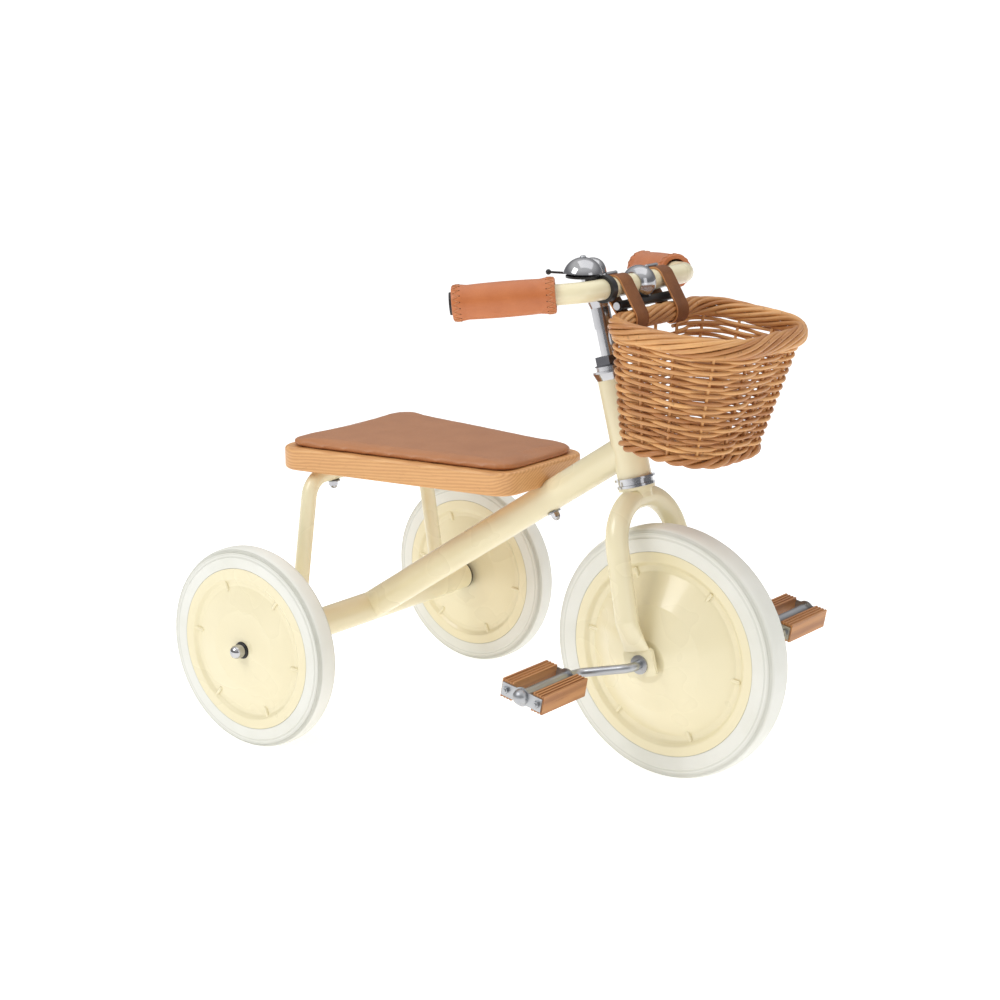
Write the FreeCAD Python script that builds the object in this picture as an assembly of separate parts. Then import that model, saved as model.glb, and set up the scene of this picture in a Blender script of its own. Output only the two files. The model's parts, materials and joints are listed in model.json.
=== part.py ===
import FreeCAD, Part
import math
import os
from FreeCAD import Placement, Rotation, Vector

# Children's tricycle, in millimetres. +X points to the front, +Y to its left and +Z up.
# The origin is on the ground under the middle of the tricycle's length.

os.makedirs("parts", exist_ok=True)

# ---- Driving dimensions -------------------------------------------------------------------
wheelbase = 438.0
front_wheel_radius = 143.0
rear_wheel_radius = 118.0
rear_track = 410.0                # between the middles of the rear tyres
steering_lean = 14.5              # degrees the steering axis leans back from upright

running_gap = 0.05                # radial clearance of a shaft in its bush
fixed_gap = 0.03                  # the same where the two pieces don't turn
air = 0.3                         # between faces on pieces that move apart

# ---- Frame tubes --------------------------------------------------------------------------
main_tube_radius = 17.5
axle_tube_radius = 17.7
frame_tube_wall = 2.0
head_tube_radius = 19.0
head_tube_wall = 2.0
head_tube_length = 109.5
main_tube_joint_height = 31.5     # where the main tube's axis meets the head tube, above its foot
axle_tube_length = 352.0

# ---- Seat ---------------------------------------------------------------------------------
seat_board_length = 315.0
seat_board_overhang = 44.0        # behind the rear axle
seat_board_rear_width = 234.0
seat_board_front_width = 153.0
seat_board_thickness = 26.4
seat_board_corner = 27.0
seat_board_edge = 4.0
seat_tube_notch = 8.0             # how deep the main tube lies in the board's front edge
cushion_inset = 10.0
cushion_thickness = 10.0
cushion_corner = 22.0
cushion_edge = 6.0
seat_arch_radius = 9.0
seat_arch_wall = 1.6
seat_arch_foot_width = 265.0
seat_arch_top_width = 203.0
seat_arch_bend = 26.0
seat_bolt_radius = 3.0
seat_bolt_spacing = 124.0
seat_bolt_head_radius = 6.5
seat_bolt_head_height = 3.0
seat_nut_height = 5.0
seat_nut_across_flats = 10.0
seat_nut_chamfer = 0.4
seat_washer_radius = 8.0
seat_washer_thickness = 1.2
seat_stud_depth = 18.0            # how far the front stud goes into the board
seat_stud_back = 1.5              # from the board's front edge to where the stud starts

# ---- Rear wheels --------------------------------------------------------------------------
axle_radius = 5.0
rear_hub_radius = 10.0
rear_hub_half_length = 19.3
rear_tyre_half_width = 14.3
rear_disc_radius = 94.5
disc_sheet = 1.2
disc_bend = 3.0
disc_rim_band = 11.0              # width of the flat ring that grips the tyre
disc_groove_wall = 4.5            # width of the step from that ring into the groove
hub_proud = 0.3                   # how far a hub stands out from its discs
tyre_seat_depth = 9.0             # how far a tyre reaches in between the discs
tyre_seat_corner = 0.6
tyre_side_corner = 5.0
tyre_tread_corner = 8.5
tyre_shoulder = 1.2               # how much narrower the tread's corner is than the disc's face
rear_disc_groove = 3.2            # depth of the groove inside the flat ring
rear_groove_floor = 5.5
rear_disc_collar = 7.0            # width of the flat round the hub
rear_disc_bulge = 2.5             # fall from that flat to the disc's shoulder
rear_disc_shoulder = 0.48         # the shoulder's radius as a share of the disc's
rear_side_line = 108.0            # radius of the tyre's side edge
rear_side_bulge = 0.2             # how far that edge stands out from the disc's face
axle_washer_radius = 9.5
axle_washer_thickness = 1.2
axle_cap_radius = 7.85
axle_cap_straight = 7.0
axle_bush_depth = 16.0
axle_bush_lip = 2.0
axle_bush_cone = 1.0
axle_boss_radius = 9.0

# ---- Front wheel and crank ----------------------------------------------------------------
front_hub_radius = 12.0
front_hub_half_length = 48.3
front_tyre_half_width = 17.8
front_disc_radius = 115.4
front_side_line = 131.5
front_side_bulge = 1.2
front_disc_groove = 4.8
front_groove_floor = 7.0
front_disc_collar = 12.0
front_disc_bulge = 15.0
front_disc_shoulder = 0.52
crank_rod_radius = 5.0
crank_length = 56.0
crank_slope = 10.5                # degrees the right arm drops towards the rear
crank_bend = 15.0
crank_inner_corner = 76.0         # from the middle plane to the rod's first bend
crank_outer_corner = 99.0
pedal_inner_face = 118.0
pedal_outer_face = 199.0
pedal_tilt = 11.0
pedal_block_width = 14.5
pedal_block_height = 21.0
pedal_block_offset = 20.5
pedal_plate = 1.8
pedal_plate_height = 15.0
pedal_plate_boss = 10.5
pedal_sleeve_radius = 7.0
pedal_bolt_radius = 2.0
pedal_nut_across_flats = 7.0
pedal_nut_height = 3.2
pedal_cap_radius = 9.0
pedal_cap_wall = 1.2
pedal_groove = 1.8
pedal_groove_pitch = 3.96
push_nut_radius = 6.2
push_nut_thickness = 1.4
spindle_reach = 3.6               # past the pedal's outer face
pedal_bolt_reach = 1.2            # past its nut
pedal_plate_inset = 1.5           # from the blocks' outer faces to the plates' ends

# ---- Fork ---------------------------------------------------------------------------------
fork_tube_radius = 12.5
fork_tube_wall = 2.0
fork_wheel_clearance = 18.5       # between the tyre and the arch
fork_arch_bend = 54.0
fork_arch_half_width = 51.2       # where the leg's line meets the arch's height
fork_leg_splay = 7.2              # degrees each leg leans out
fork_leg_end = 48.0               # where the round tube stops, above the axle
leg_mid_offset = 6.2              # the pressed foot's middle, out from the dropout's, half way down
leg_mid_size = (14.2, 8.8)        # half length and half width there
leg_foot_offset = 1.2
leg_foot_size = (16.5, 3.6)
leg_overlap = 2.0                 # how far the pressed foot reaches down the dropout
dropout_inner_face = 55.5
dropout_thickness = 4.5
dropout_half_width = 19.0
dropout_above = 17.0
dropout_below = 14.0
dropout_corner = 5.0
front_bush_radius = 8.6
front_bush_flange_radius = 10.6
front_bush_flange = 1.8
steerer_radius = 12.7
steerer_below_nut = 1.0           # how far it stops short of the locknut's top
crown_collar_wall = 3.0

# ---- Headset ------------------------------------------------------------------------------
headset_stack = 10.5              # from the crown flange's top to the head tube's foot
crown_flange_radius = 20.5
crown_flange_height = 3.4
cup_flange_radius = 22.8
cup_flange_height = 2.5
cup_radius = 19.5
cup_press_depth = 6.0
cup_depth = 7.5
ball_radius = 2.4
ball_circle = 15.4
ball_count = 16
ball_below_head = 4.3
ball_above_flange = 4.4
ball_gap = 0.2
cup_wall = 2.0
race_radius = 21.3
race_height = 2.6
top_race_height = 4.6
top_race_radius = 17.9
top_washer_height = 1.5
top_washer_radius = 19.0
locknut_height = 9.5
locknut_across_flats = 31.0

# ---- Stem and handlebar -------------------------------------------------------------------
quill_radius = 9.5
quill_gap = 0.2                   # between the quill and the steerer
quill_depth = 80.0                # inside the steerer, below the locknut
stem_body_radius = 10.7
stem_body_start = 30.0            # above the locknut
stem_head_radius = 14.6
stem_bar_height = 96.7            # the bar's centre above the head tube, along the steering axis
stem_reach = 57.0
stem_head_above = 37.0            # top of the dome above the bar's centre
stem_neck_below = 18.0            # where the head starts to widen, below the bar's centre
stem_neck_length = 14.0
expander_below_dome = 12.0        # the expander's end under the dome's top
stem_arm_radius = 9.5
clamp_wall = 7.4
clamp_half_width = 13.6
clamp_slot = 2.0
clamp_screw_drop = 15.0           # below the bar's centre
clamp_screw_radius = 1.8
clamp_screw_head = 3.0
clamp_screw_half_length = 10.5
clamp_socket_depth = 1.8
expander_radius = 3.5
wedge_height = 22.0
bar_radius = 11.1
bar_wall = 1.5
bar_half_straight = 94.6
bar_bend = 34.0
bar_sweep = 55.0                  # degrees each end turns back
bar_droop = 4.8                   # degrees each end falls
bar_side_length = 141.0           # from the corner to the bar's end
grip_length = 108.0
grip_radius = 18.6
grip_collar_radius = 19.6
grip_collar_length = 11.0
plug_overhang = 0.9               # how far the plug's lip stands out from the bar
plug_lip = 3.0
plug_depth = 18.0

# ---- Bell ---------------------------------------------------------------------------------
bell_side = -64.0                 # the clamp's place along the bar
bell_clamp_width = 9.0
bell_clamp_wall = 3.5
bell_back = 22.0                  # the dome's centre behind the bar
bell_shift = -8.0                 # and beside the clamp
bell_plate_radius = 18.5
bell_plate_height = 2.2
bell_plate_rise = 0.4             # above the bar's top
bell_dome_radius = 21.0
bell_dome_height = 16.3
bell_dome_wall = 1.0
bell_dome_rise = 2.7              # the dome's foot above the plate
bell_post_radius = 2.5
bell_screw_radius = 3.4
bell_screw_height = 1.6
bell_lever_angle = 192.0          # degrees from +X in which the lever points
bell_pivot_distance = 14.0
bell_lever_length = 26.0
bell_lever_width = 3.4
bell_lever_height = 2.0
bell_lever_hub = 3.6
bell_striker_length = 6.5
bell_striker_width = 2.0
bell_knob_radius = 3.0
bell_pin_radius = 1.4

# ---- Basket -------------------------------------------------------------------------------
basket_forward = 22.4             # rim's back centreline ahead of the bar's centre
basket_drop = 29.4                # rim's centreline below the bar's centre
basket_tilt = 6.5                 # degrees the basket hangs forward
basket_depth = 136.5
basket_rim_length = 148.0
basket_rim_width = 202.0
basket_foot_length = 108.0
basket_foot_width = 134.0
basket_foot_shift = 11.0          # the foot's back centreline ahead of the rim's
basket_back_corner = 36.0
basket_front_corner = 64.0
basket_rim_radius = 7.5
basket_wall = 7.0
basket_floor = 7.0
strap_places = (-39.0, 38.0)
strap_width = 22.0
strap_thickness = 2.4
strap_gap = 0.1                   # between a strap and what it goes round
buckle_wire = 1.3
buckle_roller = 2.4
buckle_length = 13.0
buckle_corner = 2.0
buckle_angle = 38.0               # degrees back from the bar's top
spacer_width = 106.0
spacer_radius = 5.0
spacer_forward = 9.8              # ahead of the bar's centre
spacer_drop = 18.5                # below the bar's centre
spacer_bolt_radius = 4.2
spacer_bolt_length = 3.0

# ---- Places worked out from the dimensions ------------------------------------------------
clamp_radius = bar_radius + clamp_wall
plug_radius = bar_radius + plug_overhang
bell_clamp_radius = bar_radius + bell_clamp_wall
half_length = (rear_wheel_radius + wheelbase + front_wheel_radius) / 2
rear_axle = Vector(rear_wheel_radius - half_length, 0, rear_wheel_radius)
front_axle = Vector(half_length - front_wheel_radius, 0, front_wheel_radius)
steering = Placement(front_axle, Rotation(Vector(0, 1, 0), -steering_lean))
sideways = Rotation(Vector(1, 0, 0), -90)          # turns a piece's own Z to +Y
rear_wheel_middle = rear_track / 2

# Heights along the steering axis, from the front axle.
fork_arch_height = front_wheel_radius + fork_wheel_clearance + fork_tube_radius
crown_top = fork_arch_height + fork_tube_radius + 0.3
head_bottom = crown_top + headset_stack
head_top = head_bottom + head_tube_length
main_tube_joint = head_bottom + main_tube_joint_height
upper_race_bottom = head_top + cup_flange_height + cup_depth + air
upper_washer_bottom = upper_race_bottom + top_race_height
locknut_bottom = upper_washer_bottom + top_washer_height
locknut_top = locknut_bottom + locknut_height
bar_height = head_top + stem_bar_height

bar_centre = steering.multVec(Vector(stem_reach, 0, bar_height))
main_tube_end = steering.multVec(Vector(0, 0, main_tube_joint))
main_run = main_tube_end - rear_axle
main_slope = math.atan2(main_run.z, main_run.x)


def main_tube_top(x):
    """Height of the main tube's upper surface above a place along the tricycle."""
    along = x - rear_axle.x
    return rear_axle.z + along * math.tan(main_slope) + main_tube_radius / math.cos(main_slope)


seat_back = rear_axle.x - seat_board_overhang
seat_front = seat_back + seat_board_length
seat_underside = main_tube_top(seat_front) - seat_tube_notch
seat_top = seat_underside + seat_board_thickness
seat_arch_height = seat_underside - seat_arch_radius
crank_direction = Rotation(Vector(0, 1, 0), -crank_slope).multVec(Vector(-1, 0, 0))
bell_centre = Vector(bar_centre.x - bell_back, bell_side + bell_shift, 0)
bell_plate_bottom = bar_centre.z + bar_radius + bell_plate_rise
bell_plate_top = bell_plate_bottom + bell_plate_height
bell_dome_bottom = bell_plate_top + bell_dome_rise
rim_back = Vector(bar_centre.x + basket_forward, 0, bar_centre.z - basket_drop)
basket_place = Placement(rim_back, Rotation(Vector(0, 1, 0), basket_tilt))


# ---- Shape helpers ------------------------------------------------------------------------
def bent_path(corners, radii):
    """Straight runs between corners, joined by tangent arcs, or sharp where a radius is 0."""
    edges = []
    start = corners[0]
    for before, corner, after, radius in zip(corners, corners[1:], corners[2:], radii):
        if radius == 0:
            edges.append(Part.LineSegment(start, corner).toShape())
            start = corner
            continue
        back = (before - corner).normalize()
        ahead = (after - corner).normalize()
        half_angle = back.getAngle(ahead) / 2
        cut = radius / math.tan(half_angle)
        inward = (back + ahead).normalize()
        centre = corner + inward * (radius / math.sin(half_angle))
        arc_start = corner + back * cut
        arc_end = corner + ahead * cut
        edges.append(Part.LineSegment(start, arc_start).toShape())
        edges.append(Part.Arc(arc_start, centre - inward * radius, arc_end).toShape())
        start = arc_end
    edges.append(Part.LineSegment(start, corners[-1]).toShape())
    return Part.Wire(edges)


def closed_outline(corners, radii):
    """A closed wire through rounded corners."""
    middle = (corners[0] + corners[-1]) * 0.5
    return bent_path([middle, *corners, middle], radii)


def rod(path, radius):
    """A round bar that follows a wire."""
    first = path.Edges[0]
    start = first.valueAt(first.FirstParameter)
    along = first.tangentAt(first.FirstParameter)
    section = Part.Wire(Part.makeCircle(radius, start, along))
    return path.makePipeShell([section], True, True)


def pipe(path, radius, wall):
    return rod(path, radius).cut(rod(path, radius - wall))


def cylinder(radius, start, end):
    return Part.makeCylinder(radius, (end - start).Length, start, end - start)


def turned(outline):
    """A solid turned about its own Z from (radius, height) corners."""
    points = [Vector(radius, 0, height) for radius, height in outline]
    face = Part.Face(Part.makePolygon([*points, points[0]]))
    return face.revolve(Vector(0, 0, 0), Vector(0, 0, 1), 360)


def ring(outer, inner, low, high):
    return turned([(inner, low), (outer, low), (outer, high), (inner, high)])


def hexagon(across_flats, low, high, bore):
    """A nut about its own Z, with a hole unless bore is 0."""
    corner = across_flats / math.sqrt(3)
    points = [Rotation(Vector(0, 0, 1), 60 * turn).multVec(Vector(corner, 0, low)) for turn in range(7)]
    nut = Part.Face(Part.makePolygon(points)).extrude(Vector(0, 0, high - low))
    if bore:
        nut = nut.cut(Part.makeCylinder(bore, high - low, Vector(0, 0, low)))
    return nut


def half_ball(radius, middle):
    return Part.makeSphere(radius, middle, Vector(0, 0, 1), 0, 90, 360)


def placed(shape, place):
    shape.Placement = place.multiply(shape.Placement)
    return shape


def mirrored(shape):
    """The same piece on the tricycle's other side."""
    return shape.mirror(Vector(0, 0, 0), Vector(0, 1, 0))


def both_sides(shape):
    return Part.makeCompound([shape, mirrored(shape)])


def edges_at(shape, height):
    """The edges that lie flat at one height."""
    found = []
    for edge in shape.Edges:
        box = edge.BoundBox
        if abs(box.ZMin - height) < 0.01 and abs(box.ZMax - height) < 0.01:
            found.append(edge)
    return found


def largest(shape):
    return max(shape.Solids, key=lambda solid: solid.Volume)


# ---- Frame --------------------------------------------------------------------------------
def axle_tube_space():
    half = Vector(0, axle_tube_length / 2, 0)
    return cylinder(axle_tube_radius, rear_axle - half, rear_axle + half)


def head_tube_space(radius):
    return placed(Part.makeCylinder(radius, head_tube_length, Vector(0, 0, head_bottom)), steering)


def seat_stud_axis():
    """Where the front seat stud crosses the main tube's axis, and its upward direction."""
    along = seat_front - seat_stud_back - rear_axle.x
    crossing = rear_axle + Vector(along, 0, along * math.tan(main_slope))
    return crossing, Vector(-math.sin(main_slope), 0, math.cos(main_slope))


def seat_stud_space(radius):
    crossing, up = seat_stud_axis()
    below = main_tube_radius + seat_washer_thickness + seat_nut_height
    return cylinder(radius, crossing - up * below, crossing + up * (main_tube_radius + seat_stud_depth))


def main_tube():
    tube = cylinder(main_tube_radius, rear_axle, main_tube_end)
    tube = tube.cut(cylinder(main_tube_radius - frame_tube_wall, rear_axle, main_tube_end))
    tube = tube.cut(axle_tube_space()).cut(head_tube_space(head_tube_radius))
    return largest(tube.cut(seat_stud_space(seat_bolt_radius + fixed_gap)))


def head_tube():
    return head_tube_space(head_tube_radius).cut(head_tube_space(head_tube_radius - head_tube_wall))


def rear_axle_tube():
    half = Vector(0, axle_tube_length / 2, 0)
    hollow = cylinder(axle_tube_radius - frame_tube_wall, rear_axle - half, rear_axle + half)
    return axle_tube_space().cut(hollow)


def seat_bolt_places():
    return [Vector(rear_axle.x, side * seat_bolt_spacing / 2, 0) for side in (-1, 1)]


def seat_arch():
    foot = Vector(rear_axle.x, seat_arch_foot_width / 2, rear_axle.z)
    top = Vector(rear_axle.x, seat_arch_top_width / 2, seat_arch_height)
    corners = [Vector(foot.x, -foot.y, foot.z), Vector(top.x, -top.y, top.z), top, foot]
    arch = pipe(bent_path(corners, [seat_arch_bend] * 2), seat_arch_radius, seat_arch_wall)
    arch = largest(arch.cut(axle_tube_space()))
    for place in seat_bolt_places():
        low = Vector(place.x, place.y, seat_arch_height - 2 * seat_arch_radius)
        high = Vector(place.x, place.y, seat_underside)
        arch = arch.cut(cylinder(seat_bolt_radius + fixed_gap, low, high))
    return arch


def seat_outline(inset, corner, height):
    """The board's four-sided plan, drawn in from its edge."""
    rear = seat_board_rear_width / 2 - inset
    front = seat_board_front_width / 2 - inset
    corners = [
        Vector(seat_back + inset, -rear, height),
        Vector(seat_front - inset, -front, height),
        Vector(seat_front - inset, front, height),
        Vector(seat_back + inset, rear, height),
    ]
    return Part.Face(closed_outline(corners, [corner] * 4))


def seat_board():
    board = seat_outline(0, seat_board_corner, seat_underside).extrude(Vector(0, 0, seat_board_thickness))
    rims = edges_at(board, seat_underside) + edges_at(board, seat_top)
    board = board.makeFillet(seat_board_edge, rims)
    board = board.cut(cylinder(main_tube_radius + fixed_gap, rear_axle, main_tube_end))
    board = board.cut(seat_stud_space(seat_bolt_radius + fixed_gap))
    for place in seat_bolt_places():
        low = Vector(place.x, place.y, seat_underside)
        high = Vector(place.x, place.y, seat_top)
        head = Vector(0, 0, seat_bolt_head_height)
        board = board.cut(cylinder(seat_bolt_radius + fixed_gap, low, high))
        board = board.cut(cylinder(seat_bolt_head_radius + fixed_gap, high - head, high))
    return largest(board)


def seat_cushion():
    cushion = seat_outline(cushion_inset, cushion_corner, seat_top).extrude(Vector(0, 0, cushion_thickness))
    return cushion.makeFillet(cushion_edge, edges_at(cushion, seat_top + cushion_thickness))


def seat_bolts():
    """Two bolts through the arch and a stud through the main tube."""
    bolts = [seat_stud_space(seat_bolt_radius)]
    bolt_end = seat_arch_height - seat_arch_radius - seat_washer_thickness - seat_nut_height
    for place in seat_bolt_places():
        top = Vector(place.x, place.y, seat_top)
        shank = cylinder(seat_bolt_radius, Vector(place.x, place.y, bolt_end), top)
        head = cylinder(seat_bolt_head_radius, top - Vector(0, 0, seat_bolt_head_height), top)
        bolts.append(shank.fuse(head).removeSplitter())
    return Part.makeCompound(bolts)


def seat_nut_places():
    """Each nut's seat on its tube, with Z pointing out of the nut."""
    crossing, up = seat_stud_axis()
    places = [Placement(crossing - up * main_tube_radius, Rotation(Vector(0, 0, 1), up * -1))]
    for place in seat_bolt_places():
        seat = Vector(place.x, place.y, seat_arch_height - seat_arch_radius)
        places.append(Placement(seat, Rotation(Vector(0, 0, 1), Vector(0, 0, -1))))
    return places


def seat_washers():
    bore = seat_bolt_radius + fixed_gap
    washer = ring(seat_washer_radius, bore, 0, seat_washer_thickness)
    tubes = [cylinder(main_tube_radius, rear_axle, main_tube_end)]
    arch_half = Vector(0, seat_arch_top_width / 2, 0)
    arch_middle = Vector(rear_axle.x, 0, seat_arch_height)
    tubes.append(cylinder(seat_arch_radius, arch_middle - arch_half, arch_middle + arch_half))
    return Part.makeCompound([placed(washer.copy(), place).cut(tubes) for place in seat_nut_places()])


def seat_nuts():
    """Cap nuts with a domed end, on the washers."""
    low = seat_washer_thickness
    bore = seat_bolt_radius + fixed_gap
    nut = hexagon(seat_nut_across_flats, low, low + seat_nut_height, bore)
    cap_foot = low + seat_nut_height + fixed_gap
    dome_radius = seat_nut_across_flats / 2 - seat_nut_chamfer
    dome = half_ball(dome_radius, Vector(0, 0, cap_foot))
    collar = ring(dome_radius, bore, low + seat_nut_height, cap_foot)
    nut = nut.fuse([collar, dome]).removeSplitter()
    return Part.makeCompound([placed(nut.copy(), place) for place in seat_nut_places()])


# ---- Rear axle and wheels -----------------------------------------------------------------
hub_inner_end = rear_wheel_middle - rear_hub_half_length
hub_outer_end = rear_wheel_middle + rear_hub_half_length
washer_outer_face = hub_outer_end + air + axle_washer_thickness


def rear_axle_rod():
    end = Vector(0, washer_outer_face + axle_cap_straight, 0)
    return cylinder(axle_radius, rear_axle - end, rear_axle + end)


def on_rear_axle(shape):
    return placed(shape, Placement(rear_axle, sideways))


def rear_axle_bushes():
    """A stepped plug in each end of the axle tube, reaching out to the hub."""
    bore = axle_radius + fixed_gap
    tube_end = axle_tube_length / 2
    plug = axle_tube_radius - frame_tube_wall - fixed_gap
    outline = [
        (bore, tube_end - axle_bush_depth),
        (plug, tube_end - axle_bush_depth),
        (plug, tube_end),
        (axle_tube_radius, tube_end),
        (axle_tube_radius, tube_end + axle_bush_lip),
        (axle_boss_radius, tube_end + axle_bush_lip + axle_bush_cone),
        (axle_boss_radius, hub_inner_end - air),
        (bore, hub_inner_end - air),
    ]
    return both_sides(on_rear_axle(turned(outline)))


def rear_axle_washers():
    bore = axle_radius + fixed_gap
    return both_sides(on_rear_axle(ring(axle_washer_radius, bore, hub_outer_end + air, washer_outer_face)))


def rear_axle_caps():
    """A domed push-on cap over each end of the axle."""
    foot = washer_outer_face
    shoulder = foot + axle_cap_straight + fixed_gap
    cap = Part.makeCylinder(axle_cap_radius, shoulder - foot, Vector(0, 0, foot))
    dome = half_ball(axle_cap_radius, Vector(0, 0, shoulder))
    cap = cap.fuse(dome).removeSplitter()
    cap = cap.cut(Part.makeCylinder(axle_radius + fixed_gap, shoulder - foot, Vector(0, 0, foot)))
    return both_sides(on_rear_axle(cap))


def pressed_disc(corners):
    """A sheet pressed to a profile of (radius, height) corners and turned about Z."""
    points = [Vector(radius, 0, height) for radius, height in corners]
    outside = bent_path(points, [disc_bend] * (len(points) - 2))
    inside = outside.copy()
    inside.translate(Vector(0, 0, -disc_sheet))
    ends = []
    for radius, height in (corners[0], corners[-1]):
        rim = Vector(radius, 0, height)
        ends.append(Part.LineSegment(rim, rim - Vector(0, 0, disc_sheet)).toShape())
    edges = Part.__sortEdges__([*outside.Edges, *inside.Edges, *ends])
    return Part.Face(Part.Wire(edges)).revolve(Vector(0, 0, 0), Vector(0, 0, 1), 360)


def tyre(radius, side_line, bulge, disc_radius, half_width):
    """A solid rubber ring that the two disc halves hold between them."""
    seat = disc_radius - tyre_seat_depth
    seat_half = half_width - disc_sheet - fixed_gap
    shelf = disc_radius + fixed_gap
    half = [
        (seat, seat_half),
        (shelf, seat_half),
        (shelf, half_width),
        (side_line, half_width + bulge),
        (radius, half_width - tyre_shoulder),
    ]
    radii = [tyre_seat_corner, 0, 0, tyre_side_corner, tyre_tread_corner]
    corners = [Vector(r, 0, -side) for r, side in half] + [Vector(r, 0, side) for r, side in reversed(half)]
    face = Part.Face(closed_outline(corners, radii + radii[::-1]))
    return face.revolve(Vector(0, 0, 0), Vector(0, 0, 1), 360)


def at_rear_wheel(shape):
    """Moves a piece turned about its own Z to the left rear wheel."""
    return placed(shape, Placement(rear_axle + Vector(0, rear_wheel_middle, 0), sideways))


def rear_tyre():
    side = (rear_side_line, rear_side_bulge)
    return at_rear_wheel(tyre(rear_wheel_radius, *side, rear_disc_radius, rear_tyre_half_width))


def rear_disc_half():
    outer = rear_disc_radius
    face = rear_tyre_half_width
    hub_face = rear_hub_half_length - hub_proud
    groove = outer - disc_rim_band - disc_groove_wall
    return pressed_disc(
        [
            (rear_hub_radius + fixed_gap, hub_face),
            (rear_hub_radius + rear_disc_collar, hub_face),
            (outer * rear_disc_shoulder, hub_face - rear_disc_bulge),
            (groove - rear_groove_floor, face - rear_disc_groove),
            (groove, face - rear_disc_groove),
            (outer - disc_rim_band, face),
            (outer, face),
        ]
    )


def disc_pair(half):
    other = half.mirror(Vector(0, 0, 0), Vector(0, 0, 1))
    return Part.makeCompound([half, other])


def rear_discs():
    return at_rear_wheel(disc_pair(rear_disc_half()))


def rear_hub():
    bore = axle_radius + running_gap
    return at_rear_wheel(ring(rear_hub_radius, bore, -rear_hub_half_length, rear_hub_half_length))


# ---- Front wheel, crank and pedals --------------------------------------------------------
def at_front_wheel(shape):
    return placed(shape, Placement(front_axle, sideways))


def front_tyre():
    side = (front_side_line, front_side_bulge)
    return at_front_wheel(tyre(front_wheel_radius, *side, front_disc_radius, front_tyre_half_width))


def front_discs():
    outer = front_disc_radius
    face = front_tyre_half_width
    hub_face = front_hub_half_length - hub_proud
    groove = outer - disc_rim_band - disc_groove_wall
    half = pressed_disc(
        [
            (front_hub_radius + fixed_gap, hub_face),
            (front_hub_radius + front_disc_collar, hub_face),
            (outer * front_disc_shoulder, hub_face - front_disc_bulge),
            (groove - front_groove_floor, face - front_disc_groove),
            (groove, face - front_disc_groove),
            (outer - disc_rim_band, face),
            (outer, face),
        ]
    )
    return at_front_wheel(disc_pair(half))


def front_hub():
    bore = crank_rod_radius + fixed_gap
    return at_front_wheel(ring(front_hub_radius, bore, -front_hub_half_length, front_hub_half_length))


spindle_end = pedal_outer_face + spindle_reach


def crank_axle():
    """One bent rod: the wheel's axle, both crank arms and both pedal spindles."""
    right = [
        Vector(0, -spindle_end, 0) + crank_direction * crank_length,
        Vector(0, -crank_outer_corner, 0) + crank_direction * crank_length,
        Vector(0, -crank_inner_corner, 0),
    ]
    left = [point * -1 for point in reversed(right)]
    path = bent_path([front_axle + point for point in right + left], [crank_bend] * 4)
    return rod(path, crank_rod_radius)


def at_pedal(shape, side):
    """Moves a piece drawn on the left, about the spindle, to the pedal on one side."""
    if side < 0:
        shape = mirrored(shape)
    middle = front_axle + crank_direction * (-side * crank_length)
    return placed(shape, Placement(middle, Rotation(Vector(0, 1, 0), pedal_tilt)))


def pedal_ends():
    inner = (pedal_inner_face, pedal_inner_face + pedal_plate)
    outer = (pedal_outer_face - pedal_plate, pedal_outer_face)
    return inner, outer


def pedal_blocks(side):
    """Two oak blocks with grooved treads above and below."""
    low = pedal_inner_face + pedal_plate
    length = pedal_outer_face - pedal_plate - low
    blocks = []
    for offset in (-pedal_block_offset, pedal_block_offset):
        corner = Vector(offset - pedal_block_width / 2, low, -pedal_block_height / 2)
        block = Part.makeBox(pedal_block_width, length, pedal_block_height, corner)
        for step in (-1, 0, 1):
            for face in (-1, 1):
                groove = Part.makeBox(pedal_groove, length, pedal_groove)
                across = offset + step * pedal_groove_pitch - pedal_groove / 2
                groove.translate(Vector(across, low, face * pedal_block_height / 2 - pedal_groove / 2))
                block = block.cut(groove)
        bore_end = Vector(offset, low + length, 0)
        bore = cylinder(pedal_bolt_radius + fixed_gap, Vector(offset, low, 0), bore_end)
        blocks.append(block.cut(bore))
    return at_pedal(Part.makeCompound(blocks), side)


def pedal_cage(side):
    """A plate across each end of the blocks, welded to the sleeve that turns on the spindle."""
    half = pedal_block_offset + pedal_block_width / 2 - pedal_plate_inset
    inner = Vector(0, pedal_inner_face, 0)
    outer = Vector(0, pedal_outer_face, 0)
    cage = cylinder(pedal_sleeve_radius, inner, outer)
    for low, high in pedal_ends():
        corner = Vector(-half, low, -pedal_plate_height / 2)
        plate = Part.makeBox(2 * half, high - low, pedal_plate_height, corner)
        cage = cage.fuse([plate, cylinder(pedal_plate_boss, Vector(0, low, 0), Vector(0, high, 0))])
    for offset, radius in (
        (0, crank_rod_radius + running_gap),
        (-pedal_block_offset, pedal_bolt_radius + fixed_gap),
        (pedal_block_offset, pedal_bolt_radius + fixed_gap),
    ):
        across = Vector(offset, 0, 0)
        cage = cage.cut(cylinder(radius, inner + across, outer + across))
    return at_pedal(cage.removeSplitter(), side)


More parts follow.
